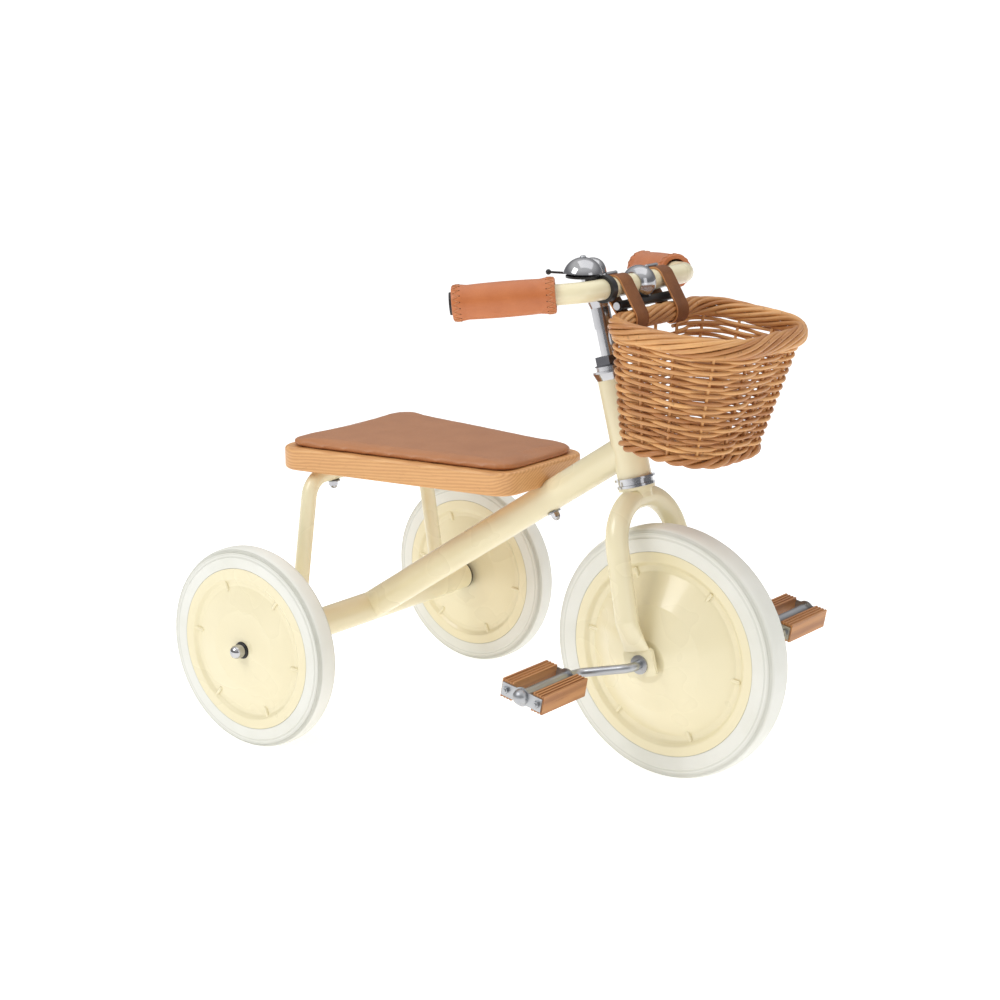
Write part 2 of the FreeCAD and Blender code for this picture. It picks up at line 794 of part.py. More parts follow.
def pedal_bolts(side):
    """A bolt through each block with a domed head inside and a nut outside."""
    bolts = []
    inner_end = pedal_inner_face - pedal_nut_height
    outer_end = pedal_outer_face + pedal_nut_height
    for offset in (-pedal_block_offset, pedal_block_offset):
        shank_end = Vector(offset, outer_end + pedal_bolt_reach, 0)
        shank = cylinder(pedal_bolt_radius, Vector(offset, inner_end, 0), shank_end)
        inner = hexagon(pedal_nut_across_flats, inner_end, pedal_inner_face, 0)
        outer = hexagon(pedal_nut_across_flats, pedal_outer_face, outer_end, 0)
        nuts = [placed(nut, Placement(Vector(offset, 0, 0), sideways)) for nut in (inner, outer)]
        bolts.append(shank.fuse(nuts).removeSplitter())
    return at_pedal(Part.makeCompound(bolts), side)


def pedal_cap(side):
    """A domed dust cap over the spindle's end."""
    middle = Vector(0, 0, pedal_outer_face)
    dome = half_ball(pedal_cap_radius, middle).cut(half_ball(pedal_cap_radius - pedal_cap_wall, middle))
    return at_pedal(placed(dome, Placement(Vector(0, 0, 0), sideways)), side)


def pedal_push_nuts():
    """Keeps each pedal on its spindle, under the dust cap."""
    low = pedal_outer_face + air
    nut = ring(push_nut_radius, crank_rod_radius + fixed_gap, low, low + push_nut_thickness)
    nut = placed(nut, Placement(Vector(0, 0, 0), sideways))
    nuts = []
    for side, shape in ((1, nut), (-1, mirrored(nut))):
        shape.translate(front_axle + crank_direction * (-side * crank_length))
        nuts.append(shape)
    return Part.makeCompound(nuts)


# ---- Fork and headset ---------------------------------------------------------------------
def fork_leg_side(height):
    """How far out a leg's axis is at a height above the axle."""
    return fork_arch_half_width + (fork_arch_height - height) * math.tan(math.radians(fork_leg_splay))


def fork_path():
    foot = Vector(0, fork_leg_side(fork_leg_end), fork_leg_end)
    top = Vector(0, fork_arch_half_width, fork_arch_height)
    corners = [Vector(0, -foot.y, foot.z), Vector(0, -top.y, top.z), top, foot]
    return bent_path(corners, [fork_arch_bend] * 2)


def leg_section(height, side, curve, tilt):
    """A circle or an oval across the leg, in the steering frame."""
    section = Part.Wire(curve.toShape())
    section.Placement = Placement(Vector(0, side, height), Rotation(Vector(1, 0, 0), tilt))
    return section


def fork_leg_foot():
    """The leg's lower end, pressed flat towards the dropout."""
    middle = dropout_inner_face + dropout_thickness / 2
    half_way = (fork_leg_end + dropout_above) / 2
    tube = Part.Circle(Vector(0, 0, 0), Vector(0, 0, 1), fork_tube_radius)
    pressed = Part.Ellipse(Vector(0, 0, 0), *leg_mid_size)
    flat = Part.Ellipse(Vector(0, 0, 0), *leg_foot_size)
    sections = [
        leg_section(fork_leg_end, fork_leg_side(fork_leg_end), tube, fork_leg_splay),
        leg_section(half_way, middle + leg_mid_offset, pressed, fork_leg_splay),
        leg_section(dropout_above - leg_overlap, middle + leg_foot_offset, flat, 0),
    ]
    return Part.makeLoft(sections, True, False)


def dropout():
    """A flat plate with rounded corners, bored for the axle bush."""
    corners = [
        Vector(-dropout_half_width, dropout_inner_face, -dropout_below),
        Vector(dropout_half_width, dropout_inner_face, -dropout_below),
        Vector(dropout_half_width, dropout_inner_face, dropout_above),
        Vector(-dropout_half_width, dropout_inner_face, dropout_above),
    ]
    through = Vector(0, dropout_thickness, 0)
    plate = Part.Face(closed_outline(corners, [dropout_corner] * 4)).extrude(through)
    low = Vector(0, dropout_inner_face, 0)
    return plate.cut(cylinder(front_bush_radius + fixed_gap, low, low + through))


def fork_tube():
    hollow = rod(fork_path(), fork_tube_radius - fork_tube_wall)
    foot = fork_leg_foot().cut(dropout())
    shell = rod(fork_path(), fork_tube_radius).cut(hollow)
    return placed(largest(shell.fuse([foot, mirrored(foot)])), steering)


def fork_dropouts():
    return placed(both_sides(dropout()), steering)


def front_axle_bushes():
    """A flanged bush in each dropout, which the axle turns in."""
    bore = crank_rod_radius + running_gap
    inner = front_hub_half_length + air
    outer = dropout_inner_face + dropout_thickness
    outline = [
        (bore, inner),
        (front_bush_radius, inner),
        (front_bush_radius, outer),
        (front_bush_flange_radius, outer),
        (front_bush_flange_radius, outer + front_bush_flange),
        (bore, outer + front_bush_flange),
    ]
    return both_sides(at_front_wheel(turned(outline)))


def steerer_tube():
    foot = fork_arch_height
    wall_inside = quill_radius + quill_gap
    tube = ring(steerer_radius, wall_inside, foot, locknut_top - steerer_below_nut)
    return placed(largest(tube.cut(rod(fork_path(), fork_tube_radius + fixed_gap))), steering)


def fork_crown():
    """A collar on the arch with a flange under the lower race."""
    outline = [
        (steerer_radius + fixed_gap, fork_arch_height),
        (steerer_radius + crown_collar_wall, fork_arch_height),
        (steerer_radius + crown_collar_wall, crown_top - crown_flange_height),
        (crown_flange_radius, crown_top - crown_flange_height),
        (crown_flange_radius, crown_top),
        (steerer_radius + fixed_gap, crown_top),
    ]
    collar = turned(outline).cut(rod(fork_path(), fork_tube_radius + fixed_gap))
    return placed(largest(collar), steering)


lower_ball_height = head_bottom - ball_below_head
upper_ball_height = head_top + cup_flange_height + ball_above_flange


def headset_cups():
    """Two pressed cups: each plugs into the head tube and holds a ring of balls."""
    press = head_tube_radius - head_tube_wall - fixed_gap
    inside = ball_circle + ball_radius + ball_gap
    shelf = ball_radius + ball_gap
    throat = press - cup_wall
    lower = [
        (throat, head_bottom + cup_press_depth),
        (press, head_bottom + cup_press_depth),
        (press, head_bottom),
        (cup_flange_radius, head_bottom),
        (cup_flange_radius, head_bottom - cup_flange_height),
        (cup_radius, head_bottom - cup_flange_height),
        (cup_radius, head_bottom - cup_depth),
        (inside, head_bottom - cup_depth),
        (inside, lower_ball_height + shelf),
        (throat, lower_ball_height + shelf),
    ]
    flange_top = head_top + cup_flange_height
    cup_top = flange_top + cup_depth
    upper = [
        (throat, head_top - cup_press_depth),
        (press, head_top - cup_press_depth),
        (press, head_top),
        (cup_radius, head_top),
        (cup_radius + 1, flange_top),
        (cup_flange_radius, cup_top - cup_wall),
        (cup_flange_radius, cup_top),
        (inside, cup_top),
        (inside, upper_ball_height - shelf),
        (throat, upper_ball_height - shelf),
    ]
    return placed(Part.makeCompound([turned(lower), turned(upper)]), steering)


def headset_balls():
    balls = []
    for height in (lower_ball_height, upper_ball_height):
        for number in range(ball_count):
            angle = math.radians(360 / ball_count * number)
            place = Vector(ball_circle * math.cos(angle), ball_circle * math.sin(angle), height)
            balls.append(Part.makeSphere(ball_radius, place))
    return placed(Part.makeCompound(balls), steering)


def crown_race():
    """A ring on the fork's crown whose raised track carries the lower balls."""
    bore = steerer_radius + fixed_gap
    track = ball_circle + ball_radius - ball_gap
    outline = [
        (bore, crown_top),
        (race_radius, crown_top),
        (race_radius, crown_top + race_height),
        (track, crown_top + race_height),
        (track, lower_ball_height - ball_radius - ball_gap),
        (bore, lower_ball_height - ball_radius - ball_gap),
    ]
    return placed(turned(outline), steering)


def top_race():
    """The threaded ring that closes the upper bearing."""
    bore = steerer_radius + fixed_gap
    track = ball_circle + ball_radius - ball_gap
    outline = [
        (bore, upper_ball_height + ball_radius + ball_gap),
        (track, upper_ball_height + ball_radius + ball_gap),
        (track, upper_race_bottom),
        (top_race_radius, upper_race_bottom),
        (top_race_radius, upper_washer_bottom),
        (bore, upper_washer_bottom),
    ]
    return placed(turned(outline), steering)


def headset_locknut():
    """A washer and a hexagon nut on the steerer's thread."""
    bore = steerer_radius + fixed_gap
    washer = ring(top_washer_radius, bore, upper_washer_bottom, locknut_bottom)
    nut = hexagon(locknut_across_flats, locknut_bottom, locknut_top, bore)
    return placed(Part.makeCompound([washer, nut]), steering)


# ---- Stem and handlebar -------------------------------------------------------------------
quill_foot = locknut_top - quill_depth


def stem():
    """A cast quill stem: a post with a domed head, and an arm to a round clamp."""
    post = Part.makeCylinder(quill_radius, bar_height - quill_foot, Vector(0, 0, quill_foot))
    body_start = locknut_top + stem_body_start
    body = Part.makeCylinder(stem_body_radius, bar_height - body_start, Vector(0, 0, body_start))
    dome_middle = bar_height + stem_head_above - stem_head_radius
    neck_foot = bar_height - stem_neck_below
    neck = Part.makeCone(stem_body_radius, stem_head_radius, stem_neck_length, Vector(0, 0, neck_foot))
    head_foot = Vector(0, 0, neck_foot + stem_neck_length)
    head = Part.makeCylinder(stem_head_radius, dome_middle - head_foot.z, head_foot)
    dome = half_ball(stem_head_radius, Vector(0, 0, dome_middle))
    clamp_middle = Vector(stem_reach, 0, bar_height)
    arm = cylinder(stem_arm_radius, Vector(0, 0, bar_height), clamp_middle)
    clamp = Part.makeSphere(clamp_radius, clamp_middle)
    slab = Part.makeBox(
        2 * clamp_radius,
        2 * clamp_half_width,
        2 * clamp_radius,
        clamp_middle - Vector(clamp_radius, clamp_half_width, clamp_radius),
    )
    clamp = clamp.common(slab)
    casting = post.fuse([body, neck, head, dome, arm, clamp]).removeSplitter()
    half = Vector(0, clamp_half_width, 0)
    casting = casting.cut(cylinder(bar_radius + fixed_gap, clamp_middle - half, clamp_middle + half))
    slot_corner = clamp_middle - Vector(clamp_slot / 2, clamp_half_width, clamp_radius)
    slot = Part.makeBox(clamp_slot, 2 * clamp_half_width, clamp_radius, slot_corner)
    casting = casting.cut(slot)
    casting = casting.cut(clamp_screw_space(fixed_gap))
    bore_top = bar_height + stem_head_above - expander_below_dome
    bore = Part.makeCylinder(expander_radius + fixed_gap, bore_top - quill_foot, Vector(0, 0, quill_foot))
    return placed(largest(casting.cut(bore)), steering)


def clamp_screw_space(gap):
    """The socket screw across the clamp's slot, grown by a clearance."""
    middle = Vector(stem_reach, 0, bar_height - clamp_screw_drop)
    half = Vector(clamp_screw_half_length, 0, 0)
    shank = cylinder(clamp_screw_radius + gap, middle - half, middle + half)
    head_end = middle - half + Vector(clamp_screw_head + gap, 0, 0)
    head = cylinder(clamp_screw_head + gap, middle - half, head_end)
    return shank.fuse(head).removeSplitter()


def stem_clamp_screw():
    """Pinches the clamp on the bar, with a socket in its head."""
    socket_start = Vector(stem_reach - clamp_screw_half_length, 0, bar_height - clamp_screw_drop)
    socket_end = socket_start + Vector(clamp_socket_depth, 0, 0)
    socket = cylinder(clamp_screw_head / 2, socket_start, socket_end)
    return placed(clamp_screw_space(0).cut(socket), steering)


def expander_bolt():
    """Runs down the stem and draws the wedge up against the quill's foot."""
    low = quill_foot - wedge_height
    high = bar_height + stem_head_above - expander_below_dome
    return placed(Part.makeCylinder(expander_radius, high - low, Vector(0, 0, low)), steering)


def expander_wedge():
    low = quill_foot - wedge_height
    return placed(ring(quill_radius, expander_radius + fixed_gap, low, quill_foot - 0.2), steering)


def bar_side_direction():
    """Which way the left end of the bar runs, out from its bend."""
    sweep = math.radians(bar_sweep)
    droop = math.radians(bar_droop)
    level = math.cos(droop)
    return Vector(-math.sin(sweep) * level, math.cos(sweep) * level, -math.sin(droop))


def bar_corner():
    return bar_centre + Vector(0, bar_half_straight, 0)


def bar_end():
    return bar_corner() + bar_side_direction() * bar_side_length


def flipped(point):
    return Vector(point.x, -point.y, point.z)


def handlebar():
    corners = [flipped(bar_end()), flipped(bar_corner()), bar_corner(), bar_end()]
    return pipe(bent_path(corners, [bar_bend] * 2), bar_radius, bar_wall)


def along_bar_end(shape):
    """Moves a piece whose Z runs inwards from the bar's left end into place."""
    return placed(shape, Placement(bar_end(), Rotation(Vector(0, 0, 1), bar_side_direction() * -1)))


def grip():
    """A leather-covered sleeve with a raised collar at each end."""
    bore = bar_radius + fixed_gap
    outline = [
        (bore, 0),
        (grip_collar_radius, 0),
        (grip_collar_radius, grip_collar_length - 1),
        (grip_radius, grip_collar_length),
        (grip_radius, grip_length - grip_collar_length),
        (grip_collar_radius, grip_length - grip_collar_length + 1),
        (grip_collar_radius, grip_length),
        (bore, grip_length),
    ]
    return along_bar_end(turned(outline))


def bar_plugs():
    inside = bar_radius - bar_wall - fixed_gap
    outline = [
        (0, -plug_lip),
        (plug_radius, -plug_lip),
        (plug_radius, 0),
        (inside, 0),
        (inside, plug_depth),
        (0, plug_depth),
    ]
    return both_sides(along_bar_end(turned(outline)))


# ---- Bell ---------------------------------------------------------------------------------
def bell_bracket():
    """A band round the bar, moulded with the plate that carries the bell."""
    low = Vector(bar_centre.x, bell_side - bell_clamp_width / 2, bar_centre.z)
    high = low + Vector(0, bell_clamp_width, 0)
    band = cylinder(bell_clamp_radius, low, high)
    plate_foot = bell_centre + Vector(0, 0, bell_plate_bottom)
    plate = Part.makeCylinder(bell_plate_radius, bell_plate_height, plate_foot)
    neck_low = Vector(bar_centre.x - bell_back, low.y, bar_centre.z + 2)
    neck = Part.makeBox(bell_back, bell_clamp_width, bell_plate_bottom - bar_centre.z - 1, neck_low)
    bracket = band.fuse([plate, neck]).removeSplitter()
    bore_side = Vector(0, 2 * bell_plate_radius, 0)
    bracket = bracket.cut(cylinder(bar_radius + fixed_gap, low - bore_side, high + bore_side))
    for place, radius in ((bell_centre, bell_post_radius), (bell_pivot(), bell_pin_radius)):
        foot = place + Vector(0, 0, bell_plate_bottom)
        bracket = bracket.cut(Part.makeCylinder(radius + fixed_gap, bell_plate_height, foot))
    return largest(bracket)


def bell_dome():
    """A shallow steel bowl, open below."""
    height = bell_dome_height
    sphere_radius = (bell_dome_radius**2 + height**2) / (2 * height)
    middle = bell_centre + Vector(0, 0, bell_dome_bottom + height - sphere_radius)
    shell = Part.makeSphere(sphere_radius, middle)
    shell = shell.cut(Part.makeSphere(sphere_radius - bell_dome_wall, middle))
    span = 4 * bell_dome_radius
    keep = Part.makeBox(span, span, span, bell_centre + Vector(-span / 2, -span / 2, bell_dome_bottom))
    hole_foot = bell_centre + Vector(0, 0, bell_dome_bottom)
    return shell.common(keep).cut(Part.makeCylinder(bell_post_radius + fixed_gap, 2 * height, hole_foot))


def bell_screw():
    """Holds the dome on its post above the plate."""
    foot = bell_centre + Vector(0, 0, bell_plate_bottom)
    top = bell_dome_bottom + bell_dome_height + 0.1
    post = Part.makeCylinder(bell_post_radius, top - bell_plate_bottom, foot)
    head_foot = bell_centre + Vector(0, 0, top)
    head = Part.makeCone(bell_screw_radius, bell_screw_radius - 1, bell_screw_height, head_foot)
    return post.fuse(head).removeSplitter()


def bell_lever_direction():
    angle = math.radians(bell_lever_angle)
    return Vector(math.cos(angle), math.sin(angle), 0)


def bell_pivot():
    return bell_centre + bell_lever_direction() * bell_pivot_distance


def bell_lever():
    """A thumb lever on a pin: a hub, an arm with a knob and a short striker."""
    low = bell_plate_top + air
    turn = Placement(bell_pivot() + Vector(0, 0, low), Rotation(Vector(0, 0, 1), bell_lever_angle))
    half_width = bell_lever_width / 2
    hub = Part.makeCylinder(bell_lever_hub, bell_lever_height)
    arm = Part.makeBox(bell_lever_length, bell_lever_width, bell_lever_height, Vector(0, -half_width, 0))
    striker_corner = Vector(-bell_striker_length, -bell_striker_width / 2, 0)
    striker = Part.makeBox(bell_striker_length, bell_striker_width, bell_lever_height, striker_corner)
    knob = Part.makeSphere(bell_knob_radius, Vector(bell_lever_length, 0, bell_lever_height / 2))
    lever = hub.fuse([arm, striker, knob]).removeSplitter()
    return placed(lever.cut(Part.makeCylinder(bell_pin_radius + running_gap, bell_lever_height)), turn)


def bell_pin():
    low = bell_pivot() + Vector(0, 0, bell_plate_bottom)
    return Part.makeCylinder(bell_pin_radius, bell_plate_height + air + bell_lever_height, low)


# ---- Basket, straps and spacer ------------------------------------------------------------
def basket_outline(back, length, width, height, inset):
    """The basket's plan, in its own frame: a straight back and large round front corners."""
    half = width / 2 - inset
    corners = [
        Vector(back + inset, -half, height),
        Vector(back + length - inset, -half, height),
        Vector(back + length - inset, half, height),
        Vector(back + inset, half, height),
    ]
    share = width / basket_rim_width
    back_corner = basket_back_corner * share - inset / 2
    front_corner = basket_front_corner * share - inset / 2
    return closed_outline(corners, [back_corner, front_corner, front_corner, back_corner])


def basket_space(inset, low):
    """The tapered volume within the walls' middle, drawn in, from a height up to the rim."""
    rise = 1 + low / basket_depth
    length = basket_foot_length + (basket_rim_length - basket_foot_length) * rise
    width = basket_foot_width + (basket_rim_width - basket_foot_width) * rise
    foot = basket_outline(basket_foot_shift * (1 - rise), length, width, low, inset)
    top = basket_outline(0, basket_rim_length, basket_rim_width, 0, inset)
    return Part.makeLoft([foot, top], True, True)


def basket_rim_path():
    return basket_outline(0, basket_rim_length, basket_rim_width, 0, 0)


def basket():
    """The woven walls and floor as one open shell."""
    shell = basket_space(-basket_wall / 2, -basket_depth)
    shell = shell.cut(basket_space(basket_wall / 2, basket_floor - basket_depth))
    shell = shell.cut(rod(basket_rim_path(), basket_rim_radius + fixed_gap))
    return placed(largest(shell), basket_place)


def basket_rim():
    return placed(rod(basket_rim_path(), basket_rim_radius), basket_place)


def belt_outline(first, first_radius, second, second_radius, side):
    """A taut loop round two circles that lie in one upright plane."""
    run = second - first
    distance = run.Length
    heading = math.atan2(run.z, run.x)
    lean = math.acos((first_radius - second_radius) / distance)

    def on_circle(centre, radius, angle):
        return Vector(centre.x + radius * math.cos(angle), side, centre.z + radius * math.sin(angle))

    first_start = on_circle(first, first_radius, heading + lean)
    first_end = on_circle(first, first_radius, heading - lean)
    first_back = on_circle(first, first_radius, heading + math.pi)
    second_start = on_circle(second, second_radius, heading - lean)
    second_end = on_circle(second, second_radius, heading + lean)
    second_front = on_circle(second, second_radius, heading)
    edges = [
        Part.Arc(first_start, first_back, first_end).toShape(),
        Part.LineSegment(first_end, second_start).toShape(),
        Part.Arc(second_start, second_front, second_end).toShape(),
        Part.LineSegment(second_end, first_start).toShape(),
    ]
    return Part.Face(Part.Wire(edges))


def strap(place):
    """A leather belt round the bar and the back of the basket's rim."""
    low = place - strap_width / 2
    bar_inside = bar_radius + strap_gap
    rim_inside = basket_rim_radius + strap_gap
    bar_outside = bar_inside + strap_thickness
    rim_outside = rim_inside + strap_thickness
    outside = belt_outline(bar_centre, bar_outside, rim_back, rim_outside, low)
    inside = belt_outline(bar_centre, bar_inside, rim_back, rim_inside, low)
    across = Vector(0, strap_width, 0)
    belt = outside.extrude(across).cut(inside.extrude(across))
    wall = basket_space(-basket_wall / 2 - strap_gap, -basket_depth)
    wall = wall.cut(basket_space(basket_wall / 2 + strap_gap, -basket_depth))
    return largest(belt.cut(placed(wall, basket_place)))


def strap_buckles():
    """A wire loop with a roller, behind the top of each strap."""
    up = bar_radius + strap_gap + strap_thickness + buckle_roller + strap_gap
    half_side = strap_width / 2 + 1
    buckles = []
    for place in strap_places:
        middle = Vector(0, place, up)
        corners = [
            Vector(-buckle_length, place - half_side, up),
            Vector(0, place - half_side, up),
            Vector(0, place + half_side, up),
            Vector(-buckle_length, place + half_side, up),
        ]
        loop = rod(closed_outline(corners, [buckle_corner] * 4), buckle_wire)
        roller_half = Vector(0, half_side - buckle_corner - 0.2, 0)
        roller = cylinder(buckle_roller, middle - roller_half, middle + roller_half)
        buckles.append(loop.fuse(roller).removeSplitter())
    turn = Rotation(Vector(0, 1, 0), -buckle_angle)
    return placed(Part.makeCompound(buckles), Placement(bar_centre, turn))


spacer_middle = bar_centre + Vector(spacer_forward, 0, -spacer_drop)


def basket_spacer():
    """A black rod that keeps the basket off the stem, with a notch for the clamp."""
    half = Vector(0, spacer_width / 2, 0)
    bar = cylinder(spacer_radius, spacer_middle - half, spacer_middle + half)
    return largest(bar.cut(Part.makeSphere(clamp_radius + air, bar_centre)))


def spacer_bolts():
    end = spacer_middle + Vector(0, spacer_width / 2, 0)
    return both_sides(cylinder(spacer_bolt_radius, end, end + Vector(0, spacer_bolt_length, 0)))


# ---- All the pieces -----------------------------------------------------------------------
pieces = {
    "main_tube": main_tube(),
    "head_tube": head_tube(),
    "rear_axle_tube": rear_axle_tube(),
    "seat_arch": seat_arch(),
    "seat_board": seat_board(),
    "seat_cushion": seat_cushion(),
    "seat_bolts": seat_bolts(),
    "seat_washers": seat_washers(),
    "seat_nuts": seat_nuts(),
    "rear_axle": rear_axle_rod(),
    "rear_axle_bushes": rear_axle_bushes(),
    "rear_axle_washers": rear_axle_washers(),
    "rear_axle_caps": rear_axle_caps(),
    "headset_cups": headset_cups(),
    "headset_balls": headset_balls(),
    "fork_tube": fork_tube(),
    "fork_dropouts": fork_dropouts(),
    "front_axle_bushes": front_axle_bushes(),
    "steerer_tube": steerer_tube(),
    "fork_crown": fork_crown(),
    "crown_race": crown_race(),
    "top_race": top_race(),
    "headset_locknut": headset_locknut(),
    "stem": stem(),
    "stem_bolts": Part.makeCompound([stem_clamp_screw(), expander_bolt()]),
    "expander_wedge": expander_wedge(),
    "handlebar": handlebar(),
    "grip_left": grip(),
    "grip_right": mirrored(grip()),
    "bar_plugs": bar_plugs(),
    "bell_bracket": bell_bracket(),
    "bell_dome": bell_dome(),
    "bell_fasteners": Part.makeCompound([bell_screw(), bell_pin()]),
    "bell_lever": bell_lever(),
    "basket": basket(),
    "basket_rim": basket_rim(),
    "strap_right": strap(strap_places[0]),
    "strap_left": strap(strap_places[1]),
    "strap_buckles": strap_buckles(),
    "basket_spacer": basket_spacer(),
    "spacer_bolts": spacer_bolts(),
    "front_tyre": front_tyre(),
    "front_discs": front_discs(),
    "front_hub": front_hub(),
    "crank_axle": crank_axle(),
    "pedal_push_nuts": pedal_push_nuts(),
}
for name, side in (("left", 1), ("right", -1)):
    pieces[f"pedal_blocks_{name}"] = pedal_blocks(side)
    pieces[f"pedal_cage_{name}"] = pedal_cage(side)
    pieces[f"pedal_bolts_{name}"] = pedal_bolts(side)
    pieces[f"pedal_cap_{name}"] = pedal_cap(side)
for name, place in (("left", lambda shape: shape), ("right", mirrored)):
    pieces[f"rear_tyre_{name}"] = place(rear_tyre())
    pieces[f"rear_discs_{name}"] = place(rear_discs())
    pieces[f"rear_hub_{name}"] = place(rear_hub())

for name, shape in pieces.items():
    shape.exportStep(f"parts/{name}.step")
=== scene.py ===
import bpy
import json
import math
import random
from mathutils import Matrix, Vector


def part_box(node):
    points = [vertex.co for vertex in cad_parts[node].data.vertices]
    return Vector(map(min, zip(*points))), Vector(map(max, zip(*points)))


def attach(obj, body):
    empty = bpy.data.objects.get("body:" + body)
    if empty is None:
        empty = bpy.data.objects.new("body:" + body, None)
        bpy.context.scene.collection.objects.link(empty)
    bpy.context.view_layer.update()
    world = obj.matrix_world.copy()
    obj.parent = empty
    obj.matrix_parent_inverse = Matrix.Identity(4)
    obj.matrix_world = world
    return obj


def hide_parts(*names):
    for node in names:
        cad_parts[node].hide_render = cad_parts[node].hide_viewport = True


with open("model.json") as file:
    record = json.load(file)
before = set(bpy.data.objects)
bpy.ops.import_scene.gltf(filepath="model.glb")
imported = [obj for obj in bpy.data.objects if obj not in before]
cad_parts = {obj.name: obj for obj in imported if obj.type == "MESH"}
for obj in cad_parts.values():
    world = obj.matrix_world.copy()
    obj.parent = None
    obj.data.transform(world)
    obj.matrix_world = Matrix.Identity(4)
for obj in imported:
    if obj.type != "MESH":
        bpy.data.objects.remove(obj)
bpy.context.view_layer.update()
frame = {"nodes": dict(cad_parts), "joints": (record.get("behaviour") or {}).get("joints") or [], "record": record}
nodes = frame["nodes"]
record = frame["record"]
scene = bpy.context.scene
scene.view_settings.view_transform = "Standard"

# ---- Places read from the frame -----------------------------------------------------------
joints = {joint["name"]: joint for joint in frame["joints"]}
front_axle = Vector(joints["front_wheel_spin"]["pos_m"])
rear_axle = {side: Vector(joints[f"rear_wheel_{side}_spin"]["pos_m"]) for side in ("left", "right")}
bar_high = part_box("handlebar")[1]
bar_radius = 0.0111
bar_centre = Vector((bar_high.x - bar_radius, 0, bar_high.z - bar_radius))
rim_low, rim_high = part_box("basket_rim")
rim_radius = 0.0075
rim_back = Vector((rim_low.x + rim_radius, 0, rim_high.z - rim_radius))
basket_tilt = math.radians(6.5)


# ---- Modelling helpers --------------------------------------------------------------------
def deselect():
    if bpy.context.mode != "OBJECT":
        bpy.ops.object.mode_set(mode="OBJECT")
    bpy.ops.object.select_all(action="DESELECT")


def choose(obj):
    deselect()
    obj.select_set(True)
    bpy.context.view_layer.objects.active = obj


def apply_modifiers(obj):
    choose(obj)
    for modifier in list(obj.modifiers):
        bpy.ops.object.modifier_apply(modifier=modifier.name)


def smooth(obj, degrees=35):
    choose(obj)
    bpy.ops.object.shade_smooth_by_angle(angle=math.radians(degrees))


def outward(obj):
    """Merges doubles and turns every face outwards."""
    choose(obj)
    bpy.ops.object.mode_set(mode="EDIT")
    bpy.ops.mesh.select_all(action="SELECT")
    bpy.ops.mesh.remove_doubles(threshold=0.00001)
    bpy.ops.mesh.normals_make_consistent(inside=False)
    bpy.ops.object.mode_set(mode="OBJECT")


def joined(parts, name):
    """One object from several, under a new name."""
    deselect()
    for part in parts:
        part.select_set(True)
    bpy.context.view_layer.objects.active = parts[0]
    if len(parts) > 1:
        bpy.ops.object.join()
    parts[0].name = name
    parts[0].data.name = name
    return parts[0]


def lathe(name, profile, around=96):
    """A piece turned about Z: a ring drawn out along (radius, height) points and closed on itself."""
    deselect()
    radius, height = profile[0]
    bpy.ops.mesh.primitive_circle_add(vertices=around, radius=radius, location=(0, 0, height))
    obj = bpy.context.object
    bpy.ops.object.mode_set(mode="EDIT")
    bpy.ops.mesh.select_all(action="SELECT")
    for next_radius, next_height in [*profile[1:], profile[0]]:
        bpy.ops.mesh.extrude_edges_move(
            TRANSFORM_OT_translate={"value": (0, 0, next_height - height)}
        )
        share = next_radius / radius
        bpy.ops.transform.resize(value=(share, share, 1))
        radius, height = next_radius, next_height
    bpy.ops.object.mode_set(mode="OBJECT")
    obj.data.transform(obj.matrix_world)
    obj.matrix_world = Matrix.Identity(4)
    obj.name = name
    outward(obj)
    return obj


def rounded_profile(points, radii, steps=5):
    """A closed profile whose corners are arcs."""
    out = []
    count = len(points)
    for number, (corner, radius) in enumerate(zip(points, radii)):
        corner = Vector(corner)
        before = Vector(points[number - 1])
        after = Vector(points[(number + 1) % count])
        if radius == 0:
            out.append(tuple(corner))
            continue
        back = (before - corner).normalized()
        ahead = (after - corner).normalized()
        half = back.angle(ahead) / 2
        cut = radius / math.tan(half)
        middle = corner + (back + ahead).normalized() * (radius / math.sin(half))
        start = corner + back * cut - middle
        end = corner + ahead * cut - middle
        turn = start.angle_signed(end)
        for step in range(steps + 1):
            angle = -turn * step / steps
            spun = Matrix.Rotation(angle, 2) @ start
            out.append(tuple(middle + spun))
    return out


def cane(points, radius, closed=False, sides=2, tone=0.5):
    """A round strand along points, as a mesh with its own tone."""
    curve = bpy.data.curves.new("strand", "CURVE")
    curve.dimensions = "3D"
    curve.bevel_depth = radius
    curve.bevel_resolution = sides
    curve.use_fill_caps = not closed
    curve.twist_mode = "Z_UP"
    spline = curve.splines.new("POLY")
    spline.points.add(len(points) - 1)
    for point, place in zip(spline.points, points):
        point.co = (*place, 1)
    spline.use_cyclic_u = closed
    obj = bpy.data.objects.new("strand", curve)
    scene.collection.objects.link(obj)
    choose(obj)
    bpy.ops.object.convert(target="MESH")
    obj = bpy.context.object
    shade = obj.data.attributes.new("tone", "FLOAT", "POINT")
    shade.data.foreach_set("value", [tone] * len(obj.data.vertices))
    return obj


def finish_piece(obj, body, slot, material, *stands_for):
    obj.data.materials.clear()
    obj.data.materials.append(material)
    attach(obj, body)
    if stands_for:
        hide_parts(*stands_for)
    return obj


